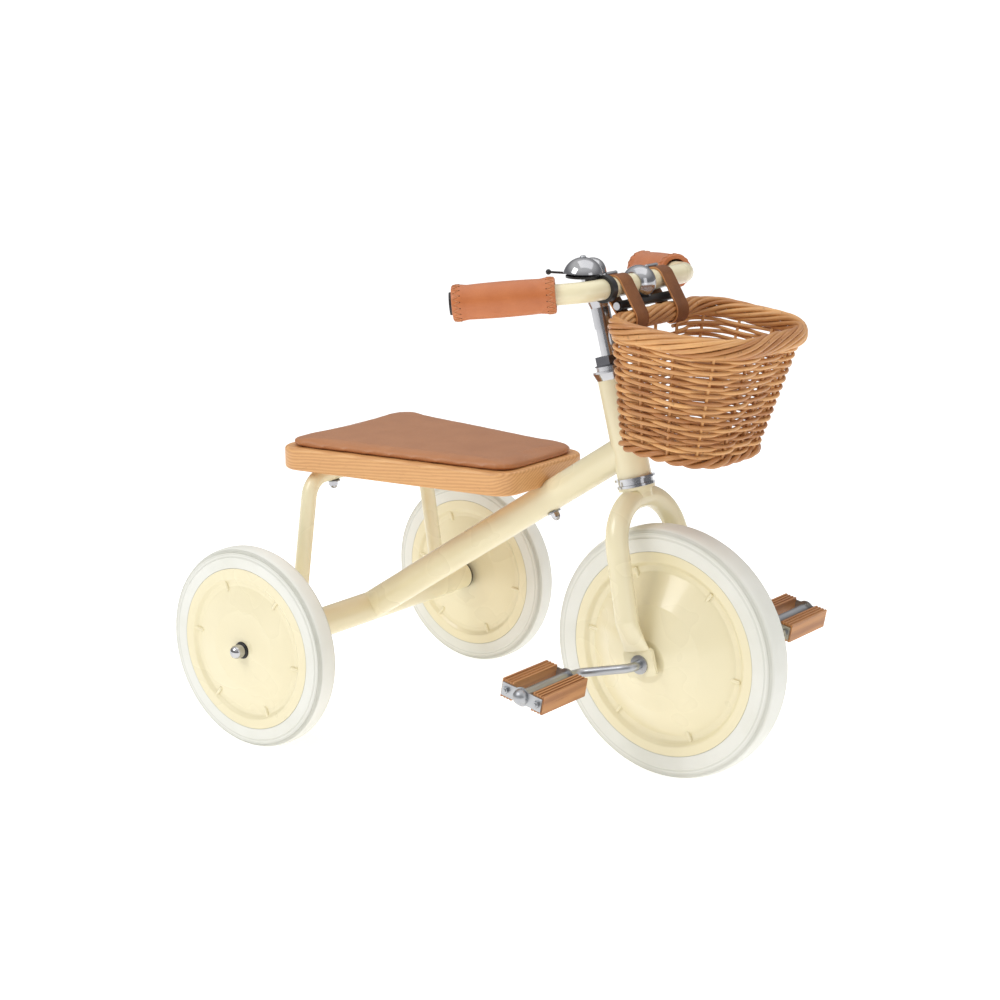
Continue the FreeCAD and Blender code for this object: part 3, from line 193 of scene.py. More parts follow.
# ---- Material helpers ---------------------------------------------------------------------
class Tree:
    """Short ways to add and link nodes in one tree."""

    def __init__(self, tree):
        self.tree = tree
        self.links = tree.links
        self.column = 0

    def add(self, kind, values=None, **settings):
        node = self.tree.nodes.new(kind)
        node.location = (self.column, 0)
        self.column += 180
        for key, value in settings.items():
            setattr(node, key, value)
        for key, value in (values or {}).items():
            if isinstance(value, bpy.types.NodeSocket):
                self.links.new(value, node.inputs[key])
            else:
                node.inputs[key].default_value = value
        return node

    def noise(self, vector, scale, detail=3.0, roughness=0.55):
        values = {"Vector": vector, "Scale": scale, "Detail": detail, "Roughness": roughness}
        return self.add("ShaderNodeTexNoise", values).outputs["Fac"]

    def mapped(self, vector, scale, turn=(0, 0, 0)):
        values = {"Vector": vector, "Scale": scale, "Rotation": turn}
        return self.add("ShaderNodeMapping", values).outputs["Vector"]

    def span(self, value, low, high, start=0.0, end=1.0):
        values = {"Value": value, "From Min": low, "From Max": high, "To Min": start, "To Max": end}
        return self.add("ShaderNodeMapRange", values).outputs["Result"]

    def mix(self, share, first, second):
        node = self.add("ShaderNodeMix", data_type="RGBA")
        for socket, value in zip((node.inputs[0], node.inputs[6], node.inputs[7]), (share, first, second)):
            if isinstance(value, bpy.types.NodeSocket):
                self.links.new(value, socket)
            else:
                socket.default_value = value
        return node.outputs[2]

    def maths(self, operation, first, second=0.0):
        return self.add("ShaderNodeMath", {0: first, 1: second}, operation=operation).outputs[0]

    def bump(self, height, distance, strength=1.0):
        values = {"Height": height, "Distance": distance, "Strength": strength}
        return self.add("ShaderNodeBump", values).outputs["Normal"]


def node_group(name, inputs, outputs, build):
    """A shared effect: inputs and outputs are (name, socket type, default) and (name, type)."""
    group = bpy.data.node_groups.new(name, "ShaderNodeTree")
    for label, kind, default in inputs:
        socket = group.interface.new_socket(name=label, in_out="INPUT", socket_type=kind)
        if default is not None:
            socket.default_value = default
    for label, kind in outputs:
        group.interface.new_socket(name=label, in_out="OUTPUT", socket_type=kind)
    tree = Tree(group)
    start = tree.add("NodeGroupInput")
    results = build(tree, start.outputs)
    end = tree.add("NodeGroupOutput")
    for (label, kind), value in zip(outputs, results):
        group.links.new(value, end.inputs[label])
    return group


FLOAT = "NodeSocketFloat"
COLOUR = "NodeSocketColor"
VECTOR = "NodeSocketVector"


def build_handling(tree, given):
    """Fine unevenness and faint smudges from handling."""
    fine = tree.noise(given["Vector"], given["Fine Scale"], 4.0)
    broad = tree.noise(given["Vector"], given["Broad Scale"], 2.0)
    smudge = tree.span(broad, 0.38, 0.68)
    return fine, smudge


def build_timber(tree, given):
    """Sawn timber: growth bands, fine pores and short dark flecks along local X."""
    stretched = tree.mapped(given["Vector"], (0.09, 1.0, 1.0))
    drift = tree.noise(stretched, 26.0, 2.0)
    bands = tree.add(
        "ShaderNodeTexWave",
        {"Vector": stretched, "Scale": given["Band Scale"], "Distortion": 3.5, "Detail": 3.0,
         "Detail Scale": 1.4},
        wave_type="BANDS",
        bands_direction="Y",
    ).outputs["Fac"]
    pores = tree.noise(tree.mapped(given["Vector"], (0.05, 1.0, 1.0)), given["Pore Scale"], 5.0, 0.7)
    flecks = tree.span(pores, 0.58, 0.72)
    tone = tree.maths("ADD", tree.maths("MULTIPLY", bands, 0.55), tree.maths("MULTIPLY", drift, 0.5))
    base = tree.mix(tree.span(tone, 0.25, 0.85), given["Light"], given["Dark"])
    darker = tree.mix(tree.maths("MULTIPLY", flecks, 0.55), base, given["Pore"])
    height = tree.maths("SUBTRACT", tree.maths("MULTIPLY", bands, 0.3), flecks)
    return darker, height


def build_hide(tree, given):
    """Tanned leather: pebbled cells, creases and a mottled dye, with painted shade darkening the low edges between
    the pebbles.
    """
    cells = tree.add(
        "ShaderNodeTexVoronoi", {"Vector": given["Vector"], "Scale": given["Grain Scale"]},
        feature="DISTANCE_TO_EDGE",
    ).outputs["Distance"]
    pebble = tree.span(cells, 0.0, 0.16)
    fine = tree.noise(given["Vector"], 1400.0, 4.0, 0.65)
    dye = tree.noise(given["Vector"], 34.0, 4.0, 0.6)
    dyed = tree.mix(tree.span(dye, 0.3, 0.72), given["Light"], given["Dark"])
    # Painted shade: the low edges between pebbles are mixed towards the dark colour.
    valleys = tree.maths("MULTIPLY", tree.maths("SUBTRACT", 1.0, pebble), 0.3)
    dyed = tree.mix(valleys, dyed, given["Dark"])
    height = tree.maths("ADD", tree.maths("MULTIPLY", pebble, 0.7), tree.maths("MULTIPLY", fine, 0.35))
    return dyed, height


handling = node_group(
    "handling",
    [("Vector", VECTOR, None), ("Fine Scale", FLOAT, 900.0), ("Broad Scale", FLOAT, 14.0)],
    [("Fine", FLOAT), ("Smudge", FLOAT)],
    build_handling,
)
timber = node_group(
    "timber",
    [("Vector", VECTOR, None), ("Band Scale", FLOAT, 60.0), ("Pore Scale", FLOAT, 900.0),
     ("Light", COLOUR, None), ("Dark", COLOUR, None), ("Pore", COLOUR, None)],
    [("Color", COLOUR), ("Height", FLOAT)],
    build_timber,
)
hide = node_group(
    "hide",
    [("Vector", VECTOR, None), ("Grain Scale", FLOAT, 520.0),
     ("Light", COLOUR, None), ("Dark", COLOUR, None)],
    [("Color", COLOUR), ("Height", FLOAT)],
    build_hide,
)


def new_material(name):
    material = bpy.data.materials.new(name)
    material.use_nodes = True
    tree = Tree(material.node_tree)
    shader = material.node_tree.nodes["Principled BSDF"]
    place = tree.add("ShaderNodeTexCoord").outputs["Object"]
    return material, tree, shader, place


def use_group(tree, group, values):
    return tree.add("ShaderNodeGroup", values, node_tree=group).outputs


def colour(red, green, blue):
    """A colour from 0-255 values as seen on a screen."""
    steps = (red, green, blue)
    linear = [((v / 255 + 0.055) / 1.055) ** 2.4 if v > 10 else v / 3295 for v in steps]
    return (*linear, 1.0)


def enamel(name, base, shade):
    """Sprayed and baked enamel under a clear coat."""
    material, tree, shader, place = new_material(name)
    touch = use_group(tree, handling, {"Vector": place, "Fine Scale": 420.0, "Broad Scale": 11.0})
    tint = tree.mix(tree.maths("MULTIPLY", touch["Smudge"], 0.5), base, shade)
    tree.links.new(tint, shader.inputs["Base Color"])
    tree.links.new(tree.span(touch["Smudge"], 0.0, 1.0, 0.26, 0.34), shader.inputs["Roughness"])
    tree.links.new(tree.bump(touch["Fine"], 0.00003, 0.5), shader.inputs["Normal"])
    shader.inputs["Coat Weight"].default_value = 0.35
    shader.inputs["Coat Roughness"].default_value = 0.08
    return material


def metal(name, base, shade, roughness, spread, scratches=0.00002, stretch=(1, 1, 1)):
    """Bare or plated metal, with brushing along one way and faint smudges."""
    material, tree, shader, place = new_material(name)
    lay = tree.mapped(place, stretch)
    touch = use_group(tree, handling, {"Vector": lay, "Fine Scale": 1300.0, "Broad Scale": 30.0})
    tree.links.new(tree.mix(touch["Smudge"], base, shade), shader.inputs["Base Color"])
    worn = tree.span(touch["Smudge"], 0, 1, roughness, roughness + spread)
    tree.links.new(worn, shader.inputs["Roughness"])
    tree.links.new(tree.bump(touch["Fine"], scratches, 0.5), shader.inputs["Normal"])
    shader.inputs["Metallic"].default_value = 1.0
    return material


def moulded(name, base, shade, roughness, grain=0.00004):
    """Moulded plastic or rubber with a spark-eroded grain."""
    material, tree, shader, place = new_material(name)
    touch = use_group(tree, handling, {"Vector": place, "Fine Scale": 1500.0, "Broad Scale": 18.0})
    tree.links.new(tree.mix(touch["Smudge"], base, shade), shader.inputs["Base Color"])
    grained = tree.span(touch["Fine"], 0.3, 0.7, roughness, roughness + 0.1)
    tree.links.new(grained, shader.inputs["Roughness"])
    tree.links.new(tree.bump(touch["Fine"], grain, 0.7), shader.inputs["Normal"])
    return material


def sawn_timber(name, light, dark, pore, turn=(0, 0, 0), band_scale=60.0, roughness=0.42):
    """Lacquered timber, its grain along X until turned."""
    material, tree, shader, place = new_material(name)
    lay = tree.mapped(place, (1, 1, 1), turn)
    values = {"Vector": lay, "Light": light, "Dark": dark, "Pore": pore, "Band Scale": band_scale}
    grain = use_group(tree, timber, values)
    tree.links.new(grain["Color"], shader.inputs["Base Color"])
    open_grain = tree.span(grain["Height"], -1.0, 0.3, roughness + 0.16, roughness)
    tree.links.new(open_grain, shader.inputs["Roughness"])
    tree.links.new(tree.bump(grain["Height"], 0.00012, 0.5), shader.inputs["Normal"])
    shader.inputs["Coat Weight"].default_value = 0.12
    shader.inputs["Coat Roughness"].default_value = 0.3
    return material


def leather(name, light, dark, grain_scale=520.0, roughness=0.5, depth=0.00018):
    material, tree, shader, place = new_material(name)
    values = {"Vector": place, "Light": light, "Dark": dark, "Grain Scale": grain_scale}
    skin = use_group(tree, hide, values)
    tree.links.new(skin["Color"], shader.inputs["Base Color"])
    valleys = tree.span(skin["Height"], 0.2, 1.0, roughness + 0.14, roughness)
    tree.links.new(valleys, shader.inputs["Roughness"])
    tree.links.new(tree.bump(skin["Height"], depth, 0.55), shader.inputs["Normal"])
    shader.inputs["Sheen Weight"].default_value = 0.08
    shader.inputs["Coat Weight"].default_value = 0.25
    shader.inputs["Coat Roughness"].default_value = 0.3
    return material


def willow(name, light, dark):
    """Peeled, steamed willow: each strand has its own tone, with a fine bumped surface and dark nicks."""
    material, tree, shader, place = new_material(name)
    strand = tree.add("ShaderNodeAttribute", attribute_name="tone").outputs["Fac"]
    broad = tree.noise(place, 42.0, 3.0)
    fine = tree.noise(place, 620.0, 4.0, 0.65)
    nicks = tree.span(tree.noise(place, 180.0, 2.0), 0.66, 0.74)
    tone = tree.maths("ADD", tree.maths("MULTIPLY", strand, 0.62), tree.maths("MULTIPLY", broad, 0.5))
    tint = tree.mix(tree.span(tone, 0.12, 0.88), light, dark)
    tint = tree.mix(tree.maths("MULTIPLY", nicks, 0.5), tint, colour(112, 62, 26))
    tree.links.new(tint, shader.inputs["Base Color"])
    tree.links.new(tree.span(fine, 0.3, 0.7, 0.36, 0.5), shader.inputs["Roughness"])
    tree.links.new(tree.bump(fine, 0.00012, 0.5), shader.inputs["Normal"])
    shader.inputs["Coat Weight"].default_value = 0.18
    shader.inputs["Coat Roughness"].default_value = 0.25
    return material


def suede(name, middle, edge, half_width, places):
    """Strap leather: brown on its faces and raw and lighter along its cut edges."""
    material, tree, shader, place = new_material(name)
    values = {"Vector": place, "Light": middle, "Dark": colour(112, 66, 32), "Grain Scale": 620.0}
    skin = use_group(tree, hide, values)
    across = tree.add("ShaderNodeSeparateXYZ", {"Vector": place}).outputs["Y"]
    nearest = None
    for centre in places:
        away = tree.maths("ABSOLUTE", tree.maths("SUBTRACT", across, centre))
        nearest = away if nearest is None else tree.maths("MINIMUM", nearest, away)
    rim = tree.span(nearest, half_width - 0.0006, half_width - 0.0001)
    tree.links.new(tree.mix(rim, skin["Color"], edge), shader.inputs["Base Color"])
    tree.links.new(tree.bump(skin["Height"], 0.0002, 0.6), shader.inputs["Normal"])
    tree.links.new(tree.span(skin["Height"], 0.2, 1.0, 0.75, 0.6), shader.inputs["Roughness"])
    return material


cream_enamel = enamel("cream_enamel", colour(234, 224, 188), colour(230, 219, 180))
seat_oak = sawn_timber(
    "lacquered_oak", colour(224, 172, 114), colour(204, 146, 90), colour(160, 104, 58),
    turn=(math.radians(62), 0, 0), band_scale=95.0,
)
pedal_oak = sawn_timber(
    "oiled_oak", colour(194, 138, 86), colour(158, 102, 58), colour(98, 58, 30),
    turn=(0, 0, math.radians(90)), band_scale=90.0, roughness=0.5,
)
tan_leather = leather("tan_leather", colour(182, 120, 72), colour(171, 109, 61), 420.0, 0.38, 0.00012)
grip_hide = leather("grip_hide", colour(198, 116, 62), colour(184, 102, 50), 560.0, 0.4, 0.00012)
buff_willow = willow("buff_willow", colour(232, 178, 114), colour(170, 110, 58))
white_rubber = moulded("white_rubber", colour(231, 231, 223), colour(225, 225, 215), 0.5)
rubber_tree = Tree(white_rubber.node_tree)
rubber_shader = white_rubber.node_tree.nodes["Principled BSDF"]
plain_rubber = rubber_shader.inputs["Base Color"].links[0].from_socket
# Painted shade: the tone attribute mixes the tyre towards grey in its groove floors, side line and disc joint.
groove_tone = rubber_tree.add("ShaderNodeAttribute", attribute_name="tone").outputs["Fac"]
groove_shade_rubber = rubber_tree.mix(groove_tone, plain_rubber, colour(188, 188, 176))
rubber_tree.links.new(groove_shade_rubber, rubber_shader.inputs["Base Color"])
polished_chrome = metal("polished_chrome", (0.5, 0.5, 0.51, 1), (0.42, 0.42, 0.44, 1), 0.09, 0.09, 0.000004)
smoked_chrome = metal("smoked_chrome", (0.13, 0.13, 0.14, 1), (0.1, 0.1, 0.11, 1), 0.12, 0.1, 0.000006)
bright_zinc = metal("bright_zinc", (0.46, 0.47, 0.48, 1), (0.38, 0.39, 0.41, 1), 0.3, 0.12, 0.00002)
turned_steel = metal("turned_steel", (0.44, 0.44, 0.45, 1), (0.36, 0.36, 0.38, 1), 0.26, 0.12, 0.00002)
satin_black = moulded("satin_black", colour(30, 30, 31), colour(38, 38, 39), 0.38)
strap_slots = [(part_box(name)[0].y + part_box(name)[1].y) / 2 for name in ("strap_left", "strap_right")]
strap_suede = suede("strap_suede", colour(142, 88, 46), colour(200, 138, 84), 0.011, strap_slots)
waxed_thread = moulded("waxed_thread", colour(206, 146, 102), colour(184, 122, 80), 0.6, 0.0001)
# Painted shade: dark brown for the discs that stand in for the shade inside the grips' punched holes.
punched_hole = moulded("punched_hole", colour(70, 36, 18), colour(52, 26, 12), 0.8, 0.0001)

slot_materials = {
    "cream_paint": cream_enamel,
    "seat_oak": seat_oak,
    "pedal_oak": pedal_oak,
    "seat_leather": tan_leather,
    "grip_leather": grip_hide,
    "strap_leather": strap_suede,
    "wicker": buff_willow,
    "tyre_rubber": white_rubber,
    "chrome": polished_chrome,
    "dark_chrome": smoked_chrome,
    "zinc": bright_zinc,
    "steel": turned_steel,
    "black_plastic": satin_black,
}
for part in record["subparts"]:
    mesh = nodes[part["node"]].data
    mesh.materials.clear()
    mesh.materials.append(slot_materials[part["material_slot"]])


# ---- Tyres --------------------------------------------------------------------------------
def tyre_profile(radius, side_line, bulge, disc_radius, half_width):
    """A sidewall ring, a fine line at its edge, and a crown with grooves near each shoulder."""
    seat = disc_radius - 0.009
    points = [(seat, 0.0), (seat, half_width - 0.0013), (disc_radius, half_width - 0.0013)]
    points += [(disc_radius + 0.0004, half_width + bulge * 0.1)]
    points += [(disc_radius + 0.0014, half_width + bulge * 0.3)]
    points += [(side_line - 0.0012, half_width + bulge), (side_line - 0.0004, half_width + bulge - 0.0007)]
    points += [(side_line + 0.0004, half_width + bulge - 0.0008)]
    rise = radius - side_line
    width = half_width + bulge
    steps = 16
    groove_steps = {4, 6, 8}
    for step in range(1, steps + 1):
        angle = math.radians(90) * step / steps
        flat = math.sin(angle) ** 0.85
        away = width - 0.0007 - (width - 0.0007) * (1 - math.cos(angle) ** 0.62)
        reach = side_line + 0.0004 + (rise - 0.0004) * flat
        if step in groove_steps:
            points += [(reach - 0.0001, away + 0.0006), (reach - 0.0012, away)]
            points += [(reach - 0.0001, away - 0.0006)]
        else:
            points.append((reach, max(away, 0.0)))
    return points + [(r, -side) for r, side in reversed(points[1:-1])]


def wheel_turn(axle):
    return Matrix.Translation(axle) @ Matrix.Rotation(math.radians(-90), 4, "X")


def tyre(name, axle, body, node, radius, side_line, bulge, disc_radius, half_width):
    """A tyre whose groove floors, side line and joint with the disc carry a darker tone: painted shade in these
    recesses.
    """
    obj = lathe(name, tyre_profile(radius, side_line, bulge, disc_radius, half_width), 144)
    # Painted shade: vertices in the side line, at the disc joint and on the groove walls get a darker tone.
    tones = []
    for vertex in obj.data.vertices:
        out = math.hypot(vertex.co.x, vertex.co.y)
        side = abs(vertex.co.z)
        in_line = abs(out - side_line) < 0.0008 and side > half_width - 0.001
        in_joint = out < disc_radius + 0.0008 and side > half_width - 0.002
        tones.append(0.4 if in_line or in_joint else 0.0)
    for face in obj.data.polygons:
        on_tread = all(
            math.hypot(*obj.data.vertices[i].co.xy) > side_line + 0.002 for i in face.vertices
        )
        if on_tread and face.normal.to_2d().length < 0.3:
            for i in face.vertices:
                tones[i] = 0.3
    shade = obj.data.attributes.new("tone", "FLOAT", "POINT")
    shade.data.foreach_set("value", tones)
    obj.data.transform(wheel_turn(axle))
    smooth(obj, 40)
    return finish_piece(obj, body, "tyre_rubber", white_rubber, node)


front_radius = front_axle.z
rear_radius = rear_axle["left"].z
tyre(
    "front_tyre_ring", front_axle, "front_wheel", "front_tyre",
    radius=front_radius, side_line=0.1315, bulge=0.0012, disc_radius=0.1154, half_width=0.0178,
)
for side in ("left", "right"):
    tyre(
        f"rear_tyre_ring_{side}", rear_axle[side], f"rear_wheel_{side}", f"rear_tyre_{side}",
        radius=rear_radius, side_line=0.108, bulge=0.0002, disc_radius=0.0945, half_width=0.0143,
    )


# ---- Pressed ribs on the wheel discs ------------------------------------------------------
def disc_ribs(name, axle, body, middle_radius, face, start):
    """Six short raised ribs on each face, modelled once and copied round."""
    deselect()
    bpy.ops.mesh.primitive_cube_add(size=1, location=(0, 0, 0))
    rib = bpy.context.object
    rib.scale = (0.014, 0.0042, 0.0036)
    bpy.ops.object.transform_apply(scale=True)
    bevel = rib.modifiers.new("soft", "BEVEL")
    bevel.width = 0.0021
    bevel.segments = 4
    apply_modifiers(rib)
    copies = []
    for number in range(6):
        for way in (1, -1):
            copy = rib.copy()
            copy.data = rib.data.copy()
            scene.collection.objects.link(copy)
            place = Matrix.Rotation(math.radians(60 * number + start), 4, "Z")
            place = place @ Matrix.Translation((middle_radius, 0, way * face))
            copy.data.transform(wheel_turn(axle) @ place)
            copies.append(copy)
    bpy.data.objects.remove(rib)
    ribs = joined(copies, name)
    smooth(ribs)
    return finish_piece(ribs, body, "cream_paint", cream_enamel)


disc_ribs("front_disc_ribs", front_axle, "front_wheel", 0.0935, 0.0140, 8)
for side in ("left", "right"):
    disc_ribs(f"rear_disc_ribs_{side}", rear_axle[side], f"rear_wheel_{side}", 0.0765, 0.0117, 8)


# ---- Basket -------------------------------------------------------------------------------
basket_place = Matrix.Translation(rim_back) @ Matrix.Rotation(basket_tilt, 4, "Y")
basket_depth = 0.1365
rim_plan = (0.148, 0.202)
foot_plan = (0.108, 0.134)
foot_shift = 0.011
stake_count = 14


def basket_plan(low):
    """Corners and corner radii of the basket's plan at a height below the rim."""
    rise = 1 + low / basket_depth
    length = foot_plan[0] + (rim_plan[0] - foot_plan[0]) * rise
    width = foot_plan[1] + (rim_plan[1] - foot_plan[1]) * rise
    back = foot_shift * (1 - rise)
    share = width / rim_plan[1]
    front = back + length
    corners = [(back, width / 2), (back, -width / 2), (front, -width / 2), (front, width / 2)]
    return corners, [0.036 * share, 0.036 * share, 0.064 * share, 0.064 * share]


def plan_outline(low):
    """Points round the plan from the middle of the back."""
    corners, radii = basket_plan(low)
    run = [Vector((corners[0][0], 0.0))]
    for number in range(4):
        corner = Vector(corners[number - 3])
        before = Vector(corners[number - 4])
        after = Vector(corners[number - 2])
        radius = radii[number - 3]
        back = (before - corner).normalized()
        ahead = (after - corner).normalized()
        middle = corner + (back + ahead) * radius
        for step in range(13):
            angle = math.radians(90) * step / 12
            run.append(middle - ahead * radius * math.cos(angle) - back * radius * math.sin(angle))
    return run


class Plan:
    """The basket's outline at one height, walked by a share of its length."""

    def __init__(self, low):
        self.low = low
        self.run = plan_outline(low)
        self.run.append(self.run[0])
        self.reach = [0.0]
        for first, second in zip(self.run, self.run[1:]):
            self.reach.append(self.reach[-1] + (second - first).length)

    def at(self, share, out=0.0, up=0.0):
        target = (share % 1.0) * self.reach[-1]
        number = next(i for i in range(1, len(self.reach)) if self.reach[i] >= target)
        first, second = self.run[number - 1], self.run[number]
        span = self.reach[number] - self.reach[number - 1]
        part = (target - self.reach[number - 1]) / span if span else 0.0
        place = first.lerp(second, part)
        along = (second - first).normalized() if span else Vector((0, 1))
        normal = Vector((along.y, -along.x))
        centre = (self.run[0] + self.run[len(self.run) // 2]) / 2
        if normal.dot(place - centre) < 0:
            normal = -normal
        place = place + normal * out
        return basket_place @ Vector((place.x, place.y, self.low + up))


def weave_row(low, phase, radius, start, end, dice):
    """One strand that runs before and behind the stakes."""
    plan = Plan(low)
    per_stake = 9
    count = round((end - start) * stake_count * per_stake)
    drift = dice.uniform(-1, 1) * 0.0004
    sway = dice.uniform(0, math.tau)
    points = []
    for number in range(count + 1):
        share = start + (end - start) * number / count
        if end - start > 0.999 and number == count:
            break
        swing = math.cos(math.pi * (share * stake_count + phase))
        out = 0.003 * math.copysign(abs(swing) ** 0.7, swing)
        up = drift + 0.0005 * math.sin(share * math.tau * 5 + sway)
        points.append(plan.at(share, out, up))
    closed = end - start > 0.999
    return cane(points, radius, closed, 2, dice.random())


def woven_walls():
    dice = random.Random(7)
    strands = []
    rows = 26
    top = -0.0165
    pitch = (basket_depth - 0.0105 + top) / (rows - 1)
    for row in range(rows):
        low = top - pitch * row
        radius = dice.uniform(0.0019, 0.0024)
        if row < 3:
            strands.append(weave_row(low, row, radius, 0.9 / stake_count, 1 - 0.9 / stake_count, dice))
        else:
            strands.append(weave_row(low, row, radius, 0, 1, dice))
    for stake in range(stake_count):
        share = stake / stake_count
        foot = Plan(0.004 - basket_depth).at(share)
        head = Plan(-0.004).at(share)
        points = [foot.lerp(head, step / 6) for step in range(7)]
        strands.append(cane(points, dice.uniform(0.0017, 0.002), False, 1, dice.random()))
    return joined(strands, "woven_basket_walls")


def woven_floor():
    """Flat weave of long sticks and cross strands over the foot."""
    dice = random.Random(11)
    low = 0.0035 - basket_depth
    plan = Plan(low)
    corners = [plan.at(number / 72) for number in range(72)]
    inverse = basket_place.inverted()
    flat = [inverse @ corner for corner in corners]
    strands = []

    def crossing(axis, value):
        hits = []
        for first, second in zip(flat, flat[1:] + flat[:1]):
            if (first[axis] - value) * (second[axis] - value) < 0:
                part = (value - first[axis]) / (second[axis] - first[axis])
                hits.append(first.lerp(second, part)[1 - axis])
        return (min(hits), max(hits)) if len(hits) > 1 else None

    lows = min(p.y for p in flat)
    highs = max(p.y for p in flat)
    sticks = [lows + (highs - lows) * (n + 0.5) / 6 for n in range(6)]
    for y in sticks:
        ends = crossing(1, y)
        points = [basket_place @ Vector((ends[0] + (ends[1] - ends[0]) * s / 4, y, low)) for s in range(5)]
        strands.append(cane(points, 0.0022, False, 1, dice.random()))
    first_x = min(p.x for p in flat) + 0.004
    last_x = max(p.x for p in flat) - 0.003
    count = 21
    spacing = sticks[1] - sticks[0]
    for number in range(count):
        x = first_x + (last_x - first_x) * number / (count - 1)
        ends = crossing(0, x)
        if ends is None:
            continue
        steps = 36
        points = []
        for step in range(steps + 1):
            y = ends[0] + (ends[1] - ends[0]) * step / steps
            swing = math.cos(math.pi * ((y - sticks[0]) / spacing + number))
            points.append(basket_place @ Vector((x, y, low + 0.0024 * swing)))
        strands.append(cane(points, dice.uniform(0.0021, 0.0024), False, 1, dice.random()))
    return joined(strands, "woven_basket_floor")


def twisted_border(name, low, strand_count, turns, half_height, half_depth, radius, seed, sides=3):
    """A rope-like border: strands wound slowly round the outline."""
    dice = random.Random(seed)
    plan = Plan(low)
    steps = 260
    strands = []
    for number in range(strand_count):
        start = math.tau * number / strand_count
        wander = dice.uniform(0, math.tau)
        points = []
        for step in range(steps):
            share = step / steps
            angle = start + math.tau * turns * share
            swell = 1 + 0.05 * math.sin(share * math.tau * 6 + wander)
            out = half_depth * math.cos(angle) * swell
            up = half_height * math.sin(angle) * swell
            points.append(plan.at(share, out, up))
        strands.append(cane(points, radius * dice.uniform(0.92, 1.06), True, sides, dice.random()))
    return joined(strands, name)


walls = woven_walls()
smooth(walls, 60)
finish_piece(walls, "steering", "wicker", buff_willow, "basket")
floor_weave = woven_floor()
smooth(floor_weave, 60)
finish_piece(floor_weave, "steering", "wicker", buff_willow)
rim_rope = twisted_border("twisted_rim", -0.0035, 9, 3, 0.0086, 0.0056, 0.0027, 3)
smooth(rim_rope, 60)
finish_piece(rim_rope, "steering", "wicker", buff_willow, "basket_rim")
foot_rope = twisted_border("plaited_foot", 0.004 - basket_depth, 3, 7, 0.0038, 0.0038, 0.0029, 5)
smooth(foot_rope, 60)
finish_piece(foot_rope, "steering", "wicker", buff_willow)


# ---- Seat cushion -------------------------------------------------------------------------
def seat_pad():
    """A leather pad blown up over its foam, flat where it rests on the board."""
    source = nodes["seat_cushion"]
    pad = source.copy()
    pad.data = source.data.copy()
    pad.parent = None
    pad.name = "leather_seat_pad"
    for key in list(pad.keys()):
        del pad[key]
    scene.collection.objects.link(pad)
    outward(pad)
    low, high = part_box("seat_cushion")
    middle = (low + high) / 2
    middle.z = low.z
    fitted = Matrix.Diagonal((1.012, 1.014, 0.96, 1))
    pad.data.transform(Matrix.Translation(middle) @ fitted @ Matrix.Translation(-middle))
    remesh = pad.modifiers.new("even", "REMESH")
    remesh.mode = "VOXEL"
    remesh.voxel_size = 0.0042
    apply_modifiers(pad)
    rest = [vertex.co.copy() for vertex in pad.data.vertices]
    group = pad.vertex_groups.new(name="glued")
    group.add([v.index for v in pad.data.vertices if v.co.z < low.z + 0.0012], 1.0, "REPLACE")
    cloth = pad.modifiers.new("cloth", "CLOTH")
    cloth.settings.use_pressure = True
    cloth.settings.uniform_pressure_force = 2.0
    cloth.settings.vertex_group_mass = "glued"
    cloth.settings.effector_weights.gravity = 0.0
    cloth.settings.quality = 6
    for number in range(1, 21):
        scene.frame_set(number)
    apply_modifiers(pad)
    scene.frame_set(1)
    cap = 0.0018
    for vertex, start in zip(pad.data.vertices, rest):
        move = vertex.co - start
        if move.length > cap:
            vertex.co = start + move.normalized() * cap
        vertex.co.z = max(vertex.co.z, low.z)
    even_out = pad.modifiers.new("even_out", "SMOOTH")
    even_out.factor = 0.5
    even_out.iterations = 4
    subdivide = pad.modifiers.new("fine", "SUBSURF")
    subdivide.levels = 1
    subdivide.render_levels = 1
    apply_modifiers(pad)
    choose(pad)
    bpy.ops.object.shade_smooth()
    return pad


pad = seat_pad()
finish_piece(pad, "frame", "seat_leather", tan_leather, "seat_cushion")


# ---- Grips --------------------------------------------------------------------------------
def bar_end_place(side):
    """Where a bar end is, with Z pointing inwards along the bar."""
    low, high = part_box(f"grip_{side}")
    sweep = math.radians(55)
    droop = math.radians(4.8)
    level = math.cos(droop)
    out = Vector((-math.sin(sweep) * level, math.cos(sweep) * level, -math.sin(droop)))
    corner = bar_centre + Vector((0, 0.0946, 0))
    end = corner + out * 0.141
    if side == "right":
        out.y, end.y = -out.y, -end.y
    return Matrix.Translation(end) @ (-out).to_track_quat("Z", "Y").to_matrix().to_4x4()


grip_length = 0.108
grip_neck_radius = 0.0181
grip_collar = 0.0155
lace_reach = 0.0088


def grip_radius(height):
    """A soft collar at each end, a neck inside it and a full middle."""
    height = min(height, grip_length - height)
    if height < grip_collar:
        return grip_neck_radius + 0.0011 * math.sin(math.pi * height / grip_collar)
    share = (height - grip_collar) / (grip_length / 2 - grip_collar)
    return grip_neck_radius + 0.0008 * math.sin(math.pi * share / 2) ** 0.7


def grip_sleeve(side):
    end = rounded_profile([(0.01125, 0.0), (0.0182, 0.0), (0.0185, 0.0022)], [0.0004, 0.0013, 0], 4)
    points = end[:-1]
    steps = 36
    for step in range(steps + 1):
        height = 0.0022 + (grip_length - 0.0044) * step / steps
        points.append((grip_radius(height), height))
    points += [(radius, grip_length - height) for radius, height in reversed(end[:-1])]
    sleeve = lathe(f"grip_sleeve_{side}", points, 80)
    sleeve.data.transform(bar_end_place(side))
    outward(sleeve)
    smooth(sleeve, 50)
    return sleeve


